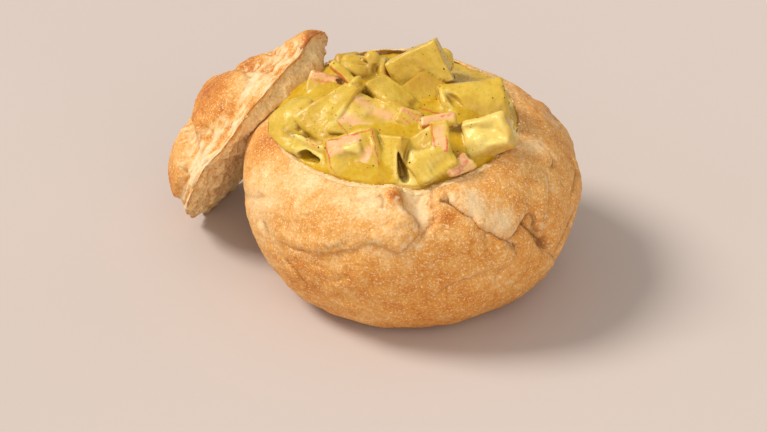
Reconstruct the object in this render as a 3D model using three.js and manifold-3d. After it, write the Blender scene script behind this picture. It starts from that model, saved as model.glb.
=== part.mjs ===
// Crab curry heaped in a hollowed round loaf. The loaf's cut-off cap leans on its shoulder.
// Millimetres, +Z up, -Y towards the viewer. The origin is the centre of the loaf's flat base.

import * as THREE from 'three';
import { mergeVertices } from 'three/addons/utils/BufferGeometryUtils.js';
import Module from 'manifold-3d';

// ---- driving dimensions ---------------------------------------------------------------------

const GAP = 0.3; // clearance between pieces that touch
const MERGE_DISTANCE = 1e-4;

const LOAF = {
  radius: 85,
  waist: 49, // height of the widest ring
  baseRadius: 48, // flat bottom
  crown: 97, // height of the loaf before its top was cut off
  upperPower: 2.5, // squareness of the side above the waist, which is round below it
  sides: 64,
  lowerRings: 7,
  upperRings: 7,
};

const MOUTH = { x: -7, y: 2, height: 86.7, radius: 60.5, backRise: 2.2 }; // backRise in degrees

const CAVITY = { floor: 24, floorRadius: 38, sides: 40, rings: 5 };

const CAP = {
  radius: 60,
  dome: 28.5, // depth of the crust side
  hump: 5, // lobe near its middle
  humpWidth: 14,
  bulge: 5.5, // torn crumb side
  axis: 49, // direction, in degrees, in which the dome thins to a wedge
  thinPower: 1.5, // fall of the dome on its thin side
  fullPower: 4, // and on its full side
  domeRings: 8,
  bulgeRings: 3,
  sides: 40,
  at: [-79.8, 54.1, 53],
  lean: 117.3,
  turn: 62.5,
};

const CAP_RIPPLES = [ // unevenness of the cap's outline
  { waves: 3, size: 0.015, phase: 0.6 },
  { waves: 5, size: 0.01, phase: 2 },
];

// Sauce heaped over the mouth. Behind backStart the heap sinks by up to backDrop.
const HEAP = { rise: 16, power: 4, sides: 34, rings: 5, backDrop: 8, backStart: 8 };

// Folds in the crust, as points of [azimuth, latitude] in degrees. Azimuth 0 faces the viewer and
// grows towards +X. Latitude is measured from the middle of the loaf.
const CRUST_CENTRE = 45;
const CREASES = {
  leftLobeEdge: { depth: 3.5, width: 4,
    path: [[-5, 34], [-1, 23], [2, 18], [-7, 13], [-21, 8], [-36, 6], [-50, 6]] },
  frontValley: { depth: 3.5, width: 4, path: [[6, 34], [9, 22], [3, 17]] },
  tornFlap: { depth: 2, width: 3, path: [[18, 30], [21, 21], [29, 12], [40, 14]] },
  rightFold: { depth: 5, width: 5, path: [[62, 33], [59, 22], [52, 13], [44, 7], [50, 1]] },
  lowCrease: { depth: 2, width: 4, path: [[35, 5], [30, 0], [18, -2], [-2, -6]] },
  leftCrack: { depth: 2, width: 3, path: [[-58, 2], [-48, -5], [-40, -11]] },
};
const SWELLS = [
  { azimuth: -16, latitude: 23, across: 15, up: 8, height: 2.5 },
  { azimuth: 18, latitude: 14, across: 11, up: 8, height: 2 },
  { azimuth: 38, latitude: 24, across: 9, up: 8, height: 2 },
  { azimuth: 75, latitude: 12, across: 14, up: 12, height: 1.5 },
  { azimuth: -92, latitude: -8, across: 24, up: 14, height: -2 },
  { azimuth: 150, latitude: 20, across: 30, up: 14, height: 1.5 },
  { azimuth: -120, latitude: 15, across: 26, up: 16, height: 1.5 },
];

// Pieces of crab stick and flakes. A piece is a rounded slab whose visible face is centred on
// `at`. Size is width, length, thickness; roll, lean and turn are degrees about its own face
// normal, about X and about Z. Curl drops the two ends, taper narrows the far end.
const PIECES = [
  { name: 'crab_tee_stem', at: [14, -44, 101], size: [9, 17, 4], roll: 12, lean: 46, turn: -12,
    tone: 'pink' },
  { name: 'crab_tee_bar', at: [13, -30, 103], size: [17, 7, 5], roll: 12, lean: 36, turn: -6,
    tone: 'pink' },
  { name: 'crab_front_cube', at: [-28, -48, 92], size: [27, 27, 18], roll: 21, lean: 51, turn: -14,
    tone: 'pink' },
  { name: 'crab_step_block', at: [7, -50, 94.5], size: [22, 25, 17], roll: 44, lean: 43, turn: -16 },
  { name: 'crab_wedge', at: [-12, -49, 93], size: [15, 22, 13], roll: 16, lean: 60, turn: -42 },
  { name: 'crab_rough_cube', at: [36, -37, 99], size: [23, 18, 18], roll: 28, lean: 46, turn: -24 },
  { name: 'crab_rolled_slab', at: [30, -12, 104], size: [36, 24, 13], roll: 6, lean: 38, turn: 4,
    curl: 4 },
  { name: 'crab_tall_block', at: [5, 5, 111.5], size: [28, 24, 12], roll: 28, lean: 73, turn: -11 },
  { name: 'crab_back_lump', at: [19, 17, 110], size: [8, 12, 9], roll: 10, lean: 60, turn: 0 },
  { name: 'crab_shaded_flake', at: [8, -2, 106], size: [27, 15, 4], roll: -8, lean: 42, turn: 16,
    taper: -0.5 },
  { name: 'crab_centre_block', at: [-10, -10, 108], size: [17, 27, 12], roll: -25, lean: 18, turn: 72 },
  { name: 'crab_left_fold', at: [-37, -21, 104], size: [20, 36, 10], roll: -36, lean: 36, turn: -12,
    curl: 4 },
  { name: 'crab_left_mound', at: [-58, -19, 96], size: [23, 28, 11], roll: -20, lean: 30, turn: -30,
    curl: 5 },
  { name: 'crab_left_cube', at: [-42, 12, 103], size: [17, 12, 12], roll: -8, lean: 28, turn: -6,
    tone: 'red' },
  { name: 'crab_thin_stick', at: [-34, 10, 108], size: [5, 20, 4], roll: 44, lean: 34, turn: 0 },
  { name: 'crab_round_fold', at: [-23, 18, 108], size: [25, 17, 12], roll: -6, lean: 44, turn: 6,
    curl: 3 },
  { name: 'crab_back_disc', at: [-30, 35, 103], size: [12, 8, 5], roll: 8, lean: 30, turn: 0,
    tone: 'olive' },
  { name: 'crab_sunk_sheet', at: [-21, -26, 102], size: [34, 26, 8], roll: -16, lean: 24, turn: 0,
    tone: 'pink' },
  { name: 'crab_red_end', at: [0, -27, 103], size: [13, 9, 8], roll: -24, lean: 34, turn: 10,
    tone: 'red' },
  { name: 'crab_rim_chunk', at: [25, -54, 90], size: [13, 10, 8], roll: 32, lean: 46, turn: 18,
    tone: 'red' },
  { name: 'crab_right_flap', at: [47, -8, 93], size: [9, 24, 7], roll: -14, lean: 34, turn: 38 },
  { name: 'crab_back_flake', at: [30, 27, 96.5], size: [24, 14, 6], roll: -18, lean: 22, turn: 8 },
  { name: 'crab_back_cube', at: [8, 34, 102], size: [19, 17, 14], roll: 18, lean: -16, turn: 8 },
  { name: 'crab_middle_chunk', at: [-5, 21, 105], size: [15, 13, 11], roll: 30, lean: 20, turn: -12,
    tone: 'pink' },
  { name: 'crab_back_strip', at: [-19, 45, 96], size: [22, 10, 7], roll: -14, lean: -24, turn: -8 },
  { name: 'crab_hollow_curl', at: [-49, -37, 91], size: [24, 12, 5], roll: -12, lean: 46, turn: -22,
    curl: 3 },
  { name: 'crab_low_wedge', at: [-3, -58, 88], size: [12, 11, 7], roll: 30, lean: 48, turn: -6 },
];
const PIECE_POWER = 5; // how square a rounded slab is
const PIECE_STEPS = { small: 2, large: 3, border: 15 }; // a side over the border gets more steps
const PIECE_WAVE = 0.5; // unevenness of a piece's faces

const FINISHES = {
  crust: { color: 0xcf9a5c, roughness: 0.75 },
  crumb: { color: 0xe3c898, roughness: 0.9 },
  sauce: { color: 0xcdb849, roughness: 0.35 },
  cream: { color: 0xdccb62, roughness: 0.4 },
  pink: { color: 0xd9a67a, roughness: 0.4 },
  red: { color: 0xcb7348, roughness: 0.4 },
  olive: { color: 0xa8963a, roughness: 0.4 },
};

// ---- solids and frames ----------------------------------------------------------------------

const wasm = await Module();
wasm.setup();

/** Makes a solid of a closed geometry: shared corners are merged and collapsed faces dropped. */
function toSolid(geometry) {
  const bare = geometry.clone();
  bare.deleteAttribute('normal');
  bare.deleteAttribute('uv');
  const merged = mergeVertices(bare, MERGE_DISTANCE);
  const corners = merged.index.array;
  const kept = [];
  for (let i = 0; i < corners.length; i += 3) {
    const [a, b, c] = corners.slice(i, i + 3);
    if (a !== b && b !== c && c !== a) kept.push(a, b, c);
  }
  return new wasm.Manifold(new wasm.Mesh({
    numProp: 3,
    vertProperties: new Float32Array(merged.attributes.position.array),
    triVerts: new Uint32Array(kept),
  }));
}

/** Gives a solid's surface back as a geometry. */
function toGeometry(solid) {
  const { vertProperties, triVerts } = solid.getMesh();
  const geometry = new THREE.BufferGeometry();
  geometry.setAttribute('position', new THREE.BufferAttribute(vertProperties, 3));
  geometry.setIndex(new THREE.BufferAttribute(triVerts, 1));
  return geometry;
}

/** Keeps the largest body that a cut left. */
function largestBody(solid) {
  const bodies = solid.decompose();
  return bodies.reduce((best, body) => (body.volume() > best.volume() ? body : best));
}

/** Frame of a face that leans towards the viewer, is turned about Z and rolled in its plane. */
function frameOf({ at, roll = 0, lean = 0, turn = 0 }) {
  const rotation = new THREE.Matrix4().makeRotationZ(THREE.MathUtils.degToRad(turn))
    .multiply(new THREE.Matrix4().makeRotationX(THREE.MathUtils.degToRad(lean)))
    .multiply(new THREE.Matrix4().makeRotationZ(THREE.MathUtils.degToRad(roll)));
  return new THREE.Matrix4().makeTranslation(...at).multiply(rotation);
}

/** Moves every corner of a geometry by a function of its place. */
function reshape(geometry, move) {
  const position = geometry.attributes.position;
  const point = new THREE.Vector3();
  for (let i = 0; i < position.count; i += 1) {
    point.fromBufferAttribute(position, i);
    move(point);
    position.setXYZ(i, point.x, point.y, point.z);
  }
  return geometry;
}

/** Revolves a profile of [radius, height] points, from axis to axis and bottom to top, about Z. */
function revolve(profile, sides) {
  const points = profile.map(([radius, height]) => new THREE.Vector2(radius, height));
  return new THREE.LatheGeometry(points, sides).rotateX(Math.PI / 2);
}

/** Named mesh of a solid made in the part's own coordinates, hung in the frame it belongs to. */
function pieceMesh(name, solid, finish, frame = new THREE.Matrix4()) {
  const geometry = toGeometry(solid).applyMatrix4(frame.clone().invert());
  geometry.computeVertexNormals();
  const mesh = new THREE.Mesh(geometry, new THREE.MeshStandardMaterial({ ...finish, metalness: 0 }));
  mesh.name = name;
  frame.decompose(mesh.position, mesh.quaternion, mesh.scale);
  return mesh;
}

// ---- loaf ----------------------------------------------------------------------------------

/** Outline of the whole loaf, from the middle of its base over its side to its crown. */
function loafProfile(grow = 0) {
  const profile = [[0, -grow], [LOAF.baseRadius / 2, -grow], [LOAF.baseRadius, -grow]];
  for (let i = 1; i < LOAF.lowerRings; i += 1) {
    const angle = (i / LOAF.lowerRings) * (Math.PI / 2);
    const spread = LOAF.radius - LOAF.baseRadius + grow;
    profile.push([LOAF.baseRadius + spread * Math.sin(angle),
      LOAF.waist - (LOAF.waist + grow) * Math.cos(angle)]);
  }
  for (let i = 0; i <= LOAF.upperRings; i += 1) {
    const angle = (i / LOAF.upperRings) * (Math.PI / 2);
    profile.push([(LOAF.radius + grow) * Math.cos(angle) ** (2 / LOAF.upperPower),
      LOAF.waist + (LOAF.crown + grow - LOAF.waist) * Math.sin(angle) ** (2 / LOAF.upperPower)]);
  }
  return profile;
}

/** Azimuth and latitude, in degrees, of a point of the crust. */
function crustDirection(point) {
  const out = Math.hypot(point.x, point.y);
  return [
    THREE.MathUtils.radToDeg(Math.atan2(point.x, -point.y)),
    THREE.MathUtils.radToDeg(Math.atan2(point.z - CRUST_CENTRE, out)),
  ];
}

/** Distance in degrees from a crust direction to a crease's path. */
function creaseDistance(azimuth, latitude, path) {
  const here = new THREE.Vector3(azimuth, latitude, 0);
  const nearest = new THREE.Vector3();
  let distance = Infinity;
  for (let i = 1; i < path.length; i += 1) {
    const segment = new THREE.Line3(new THREE.Vector3(...path[i - 1], 0), new THREE.Vector3(...path[i], 0));
    segment.closestPointToPoint(here, true, nearest);
    distance = Math.min(distance, here.distanceTo(nearest));
  }
  return distance;
}

/** How far the crust stands out at a direction: swollen lobes less the folds between them. */
function crustRelief(azimuth, latitude) {
  const bell = (x) => Math.exp(-x * x);
  const lobes = SWELLS.reduce((sum, swell) => sum + swell.height
    * bell((azimuth - swell.azimuth) / swell.across) * bell((latitude - swell.latitude) / swell.up), 0);
  const folds = Object.values(CREASES).reduce((sum, crease) => sum + crease.depth
    * bell(creaseDistance(azimuth, latitude, crease.path) / crease.width), 0);
  return lobes - folds;
}

/** Whole loaf, uncut, optionally grown to cut a clearance round it. Its crown sits over the mouth. */
function wholeLoaf(grow = 0) {
  const crust = reshape(revolve(loafProfile(grow), LOAF.sides), (point) => {
    const out = Math.hypot(point.x, point.y);
    if (point.z < LOAF.waist && out <= LOAF.baseRadius) return;
    const [azimuth, latitude] = crustDirection(point);
    const scale = 1 + crustRelief(azimuth, latitude) / Math.max(out, LOAF.baseRadius);
    const climb = Math.max(0, (point.z - LOAF.waist) / (MOUTH.height - LOAF.waist));
    point.x = point.x * scale + MOUTH.x * climb ** 2;
    point.y = point.y * scale + MOUTH.y * climb ** 2;
  });
  return toSolid(crust);
}

/** Height of the cut mouth above the base, rising a little towards the back. */
function mouthHeight(y) {
  return MOUTH.height + (y - MOUTH.y) * Math.tan(THREE.MathUtils.degToRad(MOUTH.backRise));
}

/** Block that takes off everything above the mouth. */
function aboveMouth() {
  const height = LOAF.crown;
  const width = 3 * LOAF.radius;
  const block = new THREE.BoxGeometry(width, width, height).translate(0, 0, height / 2);
  const tilt = new THREE.Matrix4().makeRotationX(THREE.MathUtils.degToRad(MOUTH.backRise));
  block.applyMatrix4(new THREE.Matrix4().makeTranslation(MOUTH.x, MOUTH.y, MOUTH.height).multiply(tilt));
  return toSolid(block);
}

/** Radius of the scooped-out hollow at a height: a flat floor that curves up to the mouth. */
function cavityRadius(height) {
  const climb = Math.min(1, (height - CAVITY.floor) / (MOUTH.height - CAVITY.floor));
  const round = Math.sqrt(1 - (1 - climb) ** 2);
  return CAVITY.floorRadius + (MOUTH.radius - CAVITY.floorRadius) * round;
}

/** Outline of the hollow up to the mouth, shrunk to leave a clearance. */
function cavityProfile(shrink = 0) {
  const profile = [[0, CAVITY.floor + shrink]];
  for (let i = 0; i < CAVITY.rings; i += 1) {
    const height = CAVITY.floor + ((MOUTH.height - CAVITY.floor) * i) / CAVITY.rings;
    profile.push([cavityRadius(height) - shrink, height + shrink]);
  }
  return profile;
}

/** Hollow that is scooped out of the loaf, open through the mouth. */
function cavity(shrink = 0) {
  const above = LOAF.crown + HEAP.rise;
  const edge = MOUTH.radius - shrink;
  const profile = [...cavityProfile(shrink), [edge, MOUTH.height], [edge, above], [0, above]];
  return toSolid(revolve(profile, CAVITY.sides).translate(MOUTH.x, MOUTH.y, 0));
}

/** Round loaf with its top cut off and its middle scooped out. */
function breadBowl() {
  const bowl = wholeLoaf().subtract(aboveMouth()).subtract(cavity());
  return pieceMesh('bread_bowl', largestBody(bowl), FINISHES.crust);
}

// ---- cap -----------------------------------------------------------------------------------

/** Depth of the cap's dome at a point of its disc: a wedge on one side and full on the other. */
function capDepth(x, y) {
  const axis = THREE.MathUtils.degToRad(CAP.axis);
  const along = x * Math.cos(axis) + y * Math.sin(axis);
  const out = Math.hypot(x, y);
  const side = out > 0 ? along / out : 0; // 1 on the thin side, -1 on the full side
  const power = (CAP.thinPower + CAP.fullPower + (CAP.thinPower - CAP.fullPower) * side) / 2;
  const fall = 1 - Math.min(1, out / CAP.radius) ** power;
  return CAP.dome * fall + CAP.hump * Math.exp(-((out / CAP.humpWidth) ** 2));
}

/** Cut-off top of the loaf: domed crust on one side, torn crumb that bulges a little on the other. */
function breadCap() {
  const profile = [];
  for (let i = 0; i < CAP.domeRings; i += 1) {
    profile.push([CAP.radius * Math.sin(((i / CAP.domeRings) * Math.PI) / 2), -1]);
  }
  for (let i = 0; i <= CAP.bulgeRings; i += 1) {
    const angle = ((i / CAP.bulgeRings) * Math.PI) / 2;
    profile.push([CAP.radius * Math.cos(angle), CAP.bulge * Math.sin(angle)]);
  }
  const cap = reshape(revolve(profile, CAP.sides), (point) => {
    const around = Math.atan2(point.y, point.x);
    if (point.z < 0) point.z = -capDepth(point.x, point.y);
    const uneven = CAP_RIPPLES.reduce((sum, { waves, size, phase }) => sum
      + size * Math.sin(waves * around + phase), 1);
    point.x *= uneven;
    point.y *= uneven;
  });
  const frame = frameOf(CAP);
  const height = LOAF.crown;
  const ground = new THREE.BoxGeometry(4 * LOAF.radius, 4 * LOAF.radius, height)
    .translate(0, 0, -height / 2);
  const solid = toSolid(cap.applyMatrix4(frame)).subtract(wholeLoaf(GAP)).subtract(toSolid(ground));
  return pieceMesh('bread_cap', largestBody(solid), FINISHES.crumb, frame);
}

// ---- crab pieces and sauce ------------------------------------------------------------------

/** Rounded slab of crab in the part's coordinates, optionally grown to cut a clearance. */
function crabSolid(piece, index, grow = 0) {
  const [width, length, thickness] = piece.size;
  const { curl = 0, taper = 0 } = piece;
  const { small, large, border } = PIECE_STEPS;
  const steps = piece.size.map((side) => (side > border ? large : small));
  const slab = reshape(new THREE.BoxGeometry(2, 2, 2, ...steps), (point) => {
    const reach = point.toArray().reduce((sum, value) => sum + Math.abs(value) ** PIECE_POWER, 0);
    point.multiplyScalar(reach ** (-1 / PIECE_POWER));
    const bulge = PIECE_WAVE * Math.sin(2 * point.x + index) * Math.cos(2 * point.y + 2 * index);
    const across = 1 + taper * point.y;
    point.set(
      point.x * (width / 2 + grow) * across,
      point.y * (length / 2 + grow),
      (point.z - 1) * (thickness / 2) + point.z * grow + bulge - curl * point.y ** 2,
    );
  });
  return toSolid(slab.applyMatrix4(frameOf(piece)));
}

/** Crab pieces, each cut clear of the loaf and of the pieces before it. */
function crabMeshes(wall) {
  const taken = [wall];
  return PIECES.map((piece, index) => {
    const solid = taken.reduce((left, other) => left.subtract(other), crabSolid(piece, index));
    taken.push(crabSolid(piece, index, GAP));
    const finish = FINISHES[piece.tone ?? 'cream'];
    return pieceMesh(piece.name, largestBody(solid), finish, frameOf(piece));
  });
}

/** Height of the heaped sauce over the base; the heap is lower at the back. */
function heapHeight(x, y) {
  const out = Math.hypot(x - MOUTH.x, y - MOUTH.y) / MOUTH.radius;
  const back = Math.max(0, (y - HEAP.backStart) / (MOUTH.radius - HEAP.backStart));
  const rise = HEAP.rise - HEAP.backDrop * Math.min(1, back);
  return mouthHeight(y) + rise * (1 - Math.min(1, out) ** HEAP.power);
}

/** Sauce that fills the hollow and rises in a heap over the mouth, less the pieces in it. */
function curryMesh() {
  const edge = MOUTH.radius - GAP;
  const profile = cavityProfile(GAP);
  for (let i = HEAP.rings; i >= 0; i -= 1) profile.push([(edge * i) / HEAP.rings, MOUTH.height]);
  const fill = revolve(profile, HEAP.sides).translate(MOUTH.x, MOUTH.y, 0);
  const heap = reshape(fill, (point) => {
    if (point.z >= MOUTH.height - GAP) point.z = heapHeight(point.x, point.y);
  });
  const sauce = PIECES.reduce((left, piece, index) => left.subtract(crabSolid(piece, index, GAP)),
    toSolid(heap));
  return pieceMesh('curry_sauce', largestBody(sauce), FINISHES.sauce);
}

// ---- whole part -----------------------------------------------------------------------------

const bread = new THREE.Group();
bread.add(breadBowl(), breadCap());

const wall = wholeLoaf(GAP).subtract(aboveMouth()).subtract(cavity(GAP));
const curry = new THREE.Group();
curry.add(curryMesh(), ...crabMeshes(wall));

const part = new THREE.Group();
part.add(bread, curry);

export default part;
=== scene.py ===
"""Crab curry heaped in a hollowed round loaf, with the loaf's cut-off cap leaning on its shoulder.

Shapes are worked out in millimetres, +Z up and -Y towards the viewer, and become metres when a
piece's mesh is made. Directions on the loaf's crust are (azimuth, latitude) in degrees from a point
inside it: azimuth 0 faces the viewer and grows towards +X.
"""

import itertools
import logging
import math
from collections.abc import Callable, Sequence
from dataclasses import dataclass, field
from enum import Enum

import bpy
import numpy as np
from mathutils import Matrix, Vector


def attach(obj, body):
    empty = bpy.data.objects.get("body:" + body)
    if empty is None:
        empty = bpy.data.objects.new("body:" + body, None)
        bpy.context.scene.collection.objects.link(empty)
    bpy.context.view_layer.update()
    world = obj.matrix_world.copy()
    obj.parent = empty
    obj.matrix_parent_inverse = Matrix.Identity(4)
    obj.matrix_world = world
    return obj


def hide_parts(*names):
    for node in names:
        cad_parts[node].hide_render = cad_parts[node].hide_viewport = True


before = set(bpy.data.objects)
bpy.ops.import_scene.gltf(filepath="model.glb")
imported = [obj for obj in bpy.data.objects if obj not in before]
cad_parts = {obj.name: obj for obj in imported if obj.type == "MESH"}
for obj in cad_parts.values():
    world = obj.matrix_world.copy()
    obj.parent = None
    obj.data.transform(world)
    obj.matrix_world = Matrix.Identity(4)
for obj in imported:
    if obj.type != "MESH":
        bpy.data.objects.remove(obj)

MM = 0.001
log = logging.getLogger("bread_bowl")

Places = np.ndarray  # (n, 3) points or directions
Values = np.ndarray  # (n,) numbers
Piece = bpy.types.Object
Material = bpy.types.Material
Tree = bpy.types.NodeTree
Socket = bpy.types.NodeSocket


# ---- numbers that several pieces share ----


def ease(value: Values, low: float, high: float) -> Values:
    """Smooth step from 0 at low to 1 at high, which may lie the other way round."""
    step = np.clip((value - low) / (high - low), 0, 1)
    return step * step * (3 - 2 * step)


def bell(value: Values) -> Values:
    """Bell curve, 1 at 0."""
    return np.exp(-(value**2))


def blended_least(first: Values, second: Values, softness: float) -> Values:
    """Lower of two distances, with a fillet about as wide as the softness where they meet."""
    overlap = np.clip(softness - np.abs(first - second), 0, None) / softness
    return np.minimum(first, second) - overlap * overlap * softness / 4


def turned(roll: float, lean: float, turn: float) -> np.ndarray:
    """Rotation that rolls a piece about its own face normal, leans it about X and turns it about Z.

    Args:
        roll: Degrees about the face normal.
        lean: Degrees about X.
        turn: Degrees about Z.

    Returns:
        The rotation's matrix.
    """
    whole = Matrix.Identity(3)
    for angle, axis in ((turn, "Z"), (lean, "X"), (roll, "Z")):
        whole = whole @ Matrix.Rotation(math.radians(angle), 3, axis)
    return np.array(whole)


class Grain:
    """Seeded gradient noise in space, worked out for many points at once."""

    TABLE = 256

    def __init__(self, seed: int) -> None:
        """Draws the noise's slopes.

        Args:
            seed: Number that fixes the pattern.
        """
        draw = np.random.default_rng(seed)
        self.order = np.tile(draw.permutation(self.TABLE), 3)
        slopes = draw.normal(size=(self.TABLE, 3))
        self.slopes = slopes / np.linalg.norm(slopes, axis=1, keepdims=True)
        self.spots = draw.random((self.TABLE, 3))

    def _pick(self, cell: np.ndarray) -> np.ndarray:
        """Table rows that belong to whole-number cells."""
        x, y, z = (cell & (self.TABLE - 1)).T
        return self.order[self.order[self.order[x] + y] + z]

    def smooth(self, points: Places, size: float) -> Values:
        """Noise of one lump size.

        Args:
            points: Where to read it.
            size: Width of a lump, in the points' unit.

        Returns:
            Values between about -1 and 1.
        """
        scaled = points / size
        cell = np.floor(scaled).astype(np.int64)
        inside = scaled - cell
        fade = inside**3 * (inside * (inside * 6 - 15) + 10)
        total = np.zeros(len(points))
        for corner in itertools.product((0, 1), repeat=3):
            weight = np.prod(np.where(corner, fade, 1 - fade), axis=1)
            slope = self.slopes[self._pick(cell + corner)]
            total += weight * np.einsum("ij,ij->i", slope, inside - corner)
        return total * 1.6

    def layered(self, points: Places, size: float, layers: int = 3) -> Values:
        """Noise of several sizes on top of each other, each half as wide and as strong as the last."""
        return sum(0.5**i * self.smooth(points + 17.3 * i, size / 2**i) for i in range(layers))

    def cells(self, points: Places, size: float) -> Values:
        """Distance to the nearest of many scattered spots.

        Args:
            points: Where to read it.
            size: Usual distance between spots.

        Returns:
            Distances as a share of the size.
        """
        scaled = points / size
        cell = np.floor(scaled).astype(np.int64)
        nearest = np.full(len(points), np.inf)
        for step in itertools.product((-1, 0, 1), repeat=3):
            spot = cell + step + self.spots[self._pick(cell + step)]
            nearest = np.minimum(nearest, ((spot - scaled) ** 2).sum(axis=1))
        return np.sqrt(nearest)


@dataclass(frozen=True)
class Layer:
    """One named unevenness: a grain, how far it lifts the surface, and the size of its lumps."""

    grain: Grain
    height: float
    size: float
    layers: int = 1

    def at(self, points: Places) -> Values:
        """How far it lifts the surface at points."""
        return self.height * self.grain.layered(points, self.size, self.layers)


def lifted(layers: Sequence[Layer], points: Places) -> Values:
    """How far several layers together lift the surface at points."""
    return sum(layer.at(points) for layer in layers)


WANDER = Grain(11)
LUMPS = Grain(5)
TORN = Grain(23)
RIPPLES = Grain(57)


# ---- meshes ----


@dataclass
class Skin:
    """Triangles of one closed piece, with named values at its points."""

    points: Places
    corners: np.ndarray
    values: dict[str, Values] = field(default_factory=dict)

    def normals(self) -> Places:
        """Outward directions at the points.

        Returns:
            A direction of length 1 for each point.
        """
        a, b, c = (self.points[self.corners[:, i]] for i in range(3))
        facing = np.cross(b - a, c - a)
        total = np.zeros_like(self.points)
        for i, axis in itertools.product(range(3), repeat=2):
            weights = facing[:, axis]
            total[:, axis] += np.bincount(self.corners[:, i], weights, len(self.points))
        length = np.linalg.norm(total, axis=1, keepdims=True)
        return total / np.maximum(length, 1e-12)

    def part(self, keep: np.ndarray) -> "Skin":
        """The triangles whose three points are all kept.

        Args:
            keep: Whether each point is kept.

        Returns:
            A skin of those triangles.
        """
        corners = self.corners[keep[self.corners].all(axis=1)]
        used, numbers = np.unique(corners, return_inverse=True)
        return Skin(self.points[used], numbers.reshape(-1, 3))

    def to_object(self, name: str, material: Material) -> Piece:
        """Makes the piece's object at the origin, in metres.

        Args:
            name: The object's name.
            material: Its finish.

        Returns:
            The new object, linked to the scene.
        """
        mesh = bpy.data.meshes.new(name)
        mesh.vertices.add(len(self.points))
        mesh.vertices.foreach_set("co", (self.points * MM).astype(np.float32).ravel())
        mesh.loops.add(self.corners.size)
        mesh.loops.foreach_set("vertex_index", self.corners.astype(np.int32).ravel())
        mesh.polygons.add(len(self.corners))
        mesh.polygons.foreach_set("loop_start", np.arange(0, self.corners.size, 3, dtype=np.int32))
        mesh.update(calc_edges=True)
        mesh.validate()
        mesh.shade_smooth()
        for key, values in self.values.items():
            layer = mesh.attributes.new(key, "FLOAT", "POINT")
            layer.data.foreach_set("value", values.astype(np.float32))
        mesh.materials.append(material)
        piece = bpy.data.objects.new(name, mesh)
        bpy.context.scene.collection.objects.link(piece)
        return piece


def ring_corners(rings: int, columns: int) -> np.ndarray:
    """Triangles over a stack of rings with one pole point before them and one after them.

    Args:
        rings: Number of rings.
        columns: Points of each ring.

    Returns:
        Point numbers of the triangles; the poles are the first and the last point.
    """
    low = 1 + np.arange(rings - 1)[:, None] * columns + np.arange(columns)[None, :]
    low_next = 1 + np.arange(rings - 1)[:, None] * columns + (np.arange(columns)[None, :] + 1) % columns
    quads = np.stack([low, low_next, low_next + columns, low + columns], axis=-1).reshape(-1, 4)
    first = 1 + np.arange(columns)
    first_next = 1 + (np.arange(columns) + 1) % columns
    last = (rings - 1) * columns
    start = np.stack([np.zeros(columns, int), first_next, first], axis=1)
    end = np.stack([first + last, first_next + last, np.full(columns, 1 + rings * columns)], axis=1)
    return np.concatenate([start, quads[:, [0, 1, 2]], quads[:, [0, 2, 3]], end])


def thinned(samples: np.ndarray, ratio: float) -> np.ndarray:
    """Samples read at wider steps, between two of the old ones where needed.

    Args:
        samples: Values on a regular grid.
        ratio: New step as a multiple of the old one.

    Returns:
        The values on the wider grid, which starts at the same place.
    """
    for axis in range(3):
        places = np.arange(0, samples.shape[axis] - 1, ratio)
        first = places.astype(int)
        share = (places - first).reshape([-1 if i == axis else 1 for i in range(3)])
        low, high = samples.take(first, axis), samples.take(first + 1, axis)
        samples = low + (high - low) * share
    return samples


def skin_of(samples: np.ndarray, origin: np.ndarray, step: float) -> Skin:
    """Closed skin where a sampled distance changes sign; it is negative inside.

    Args:
        samples: Distances on a regular grid.
        origin: Place of the grid's first sample.
        step: Distance between samples.

    Returns:
        The skin, with one point in each grid cell that the surface crosses.
    """
    samples = samples.copy()
    for axis in range(3):
        edge = np.moveaxis(samples, axis, 0)
        edge[0] = np.maximum(edge[0], step)
        edge[-1] = np.maximum(edge[-1], step)
    inside = samples < 0
    shape = [size - 1 for size in samples.shape]

    def corner_of(values: np.ndarray, offset: tuple) -> np.ndarray:
        """Values at one corner of every cell."""
        return values[tuple(slice(o, o + n) for o, n in zip(offset, shape))]

    offsets = list(itertools.product((0, 1), repeat=3))
    count = sum(corner_of(inside, offset).astype(np.int8) for offset in offsets)
    crossed = (count > 0) & (count < 8)
    cells = np.argwhere(crossed)
    number = np.full(shape, -1, dtype=np.int64)
    number[crossed] = np.arange(len(cells))
    total = np.zeros((len(cells), 3))
    hits = np.zeros(len(cells))
    for start in offsets:
        for axis in range(3):
            if start[axis]:
                continue
            stop = tuple(1 if i == axis else value for i, value in enumerate(start))
            a = samples[tuple((cells + start).T)]
            b = samples[tuple((cells + stop).T)]
            cuts = (a < 0) != (b < 0)
            share = a[cuts] / (a[cuts] - b[cuts])
            place = np.tile(np.array(start, float), (int(cuts.sum()), 1))
            place[:, axis] += share
            total[cuts] += place
            hits[cuts] += 1
    points = origin + step * (cells + total / hits[:, None])
    quads = []
    for axis in range(3):
        second, third = (axis + 1) % 3, (axis + 2) % 3
        here = np.moveaxis(inside, (axis, second, third), (0, 1, 2))
        numbers = np.moveaxis(number, (axis, second, third), (0, 1, 2))
        change = here[:-1, 1:-1, 1:-1] != here[1:, 1:-1, 1:-1]
        i, j, k = np.argwhere(change).T
        quad = np.stack(
            [numbers[i, j, k], numbers[i, j + 1, k], numbers[i, j + 1, k + 1], numbers[i, j, k + 1]],
            axis=1,
        )
        leaves = here[i, j + 1, k + 1]
        quads.append(np.where(leaves[:, None], quad, quad[:, ::-1]))
    quads = np.concatenate(quads)
    return Skin(points, np.concatenate([quads[:, [0, 1, 2]], quads[:, [0, 2, 3]]]))


# ---- finishes ----


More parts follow.
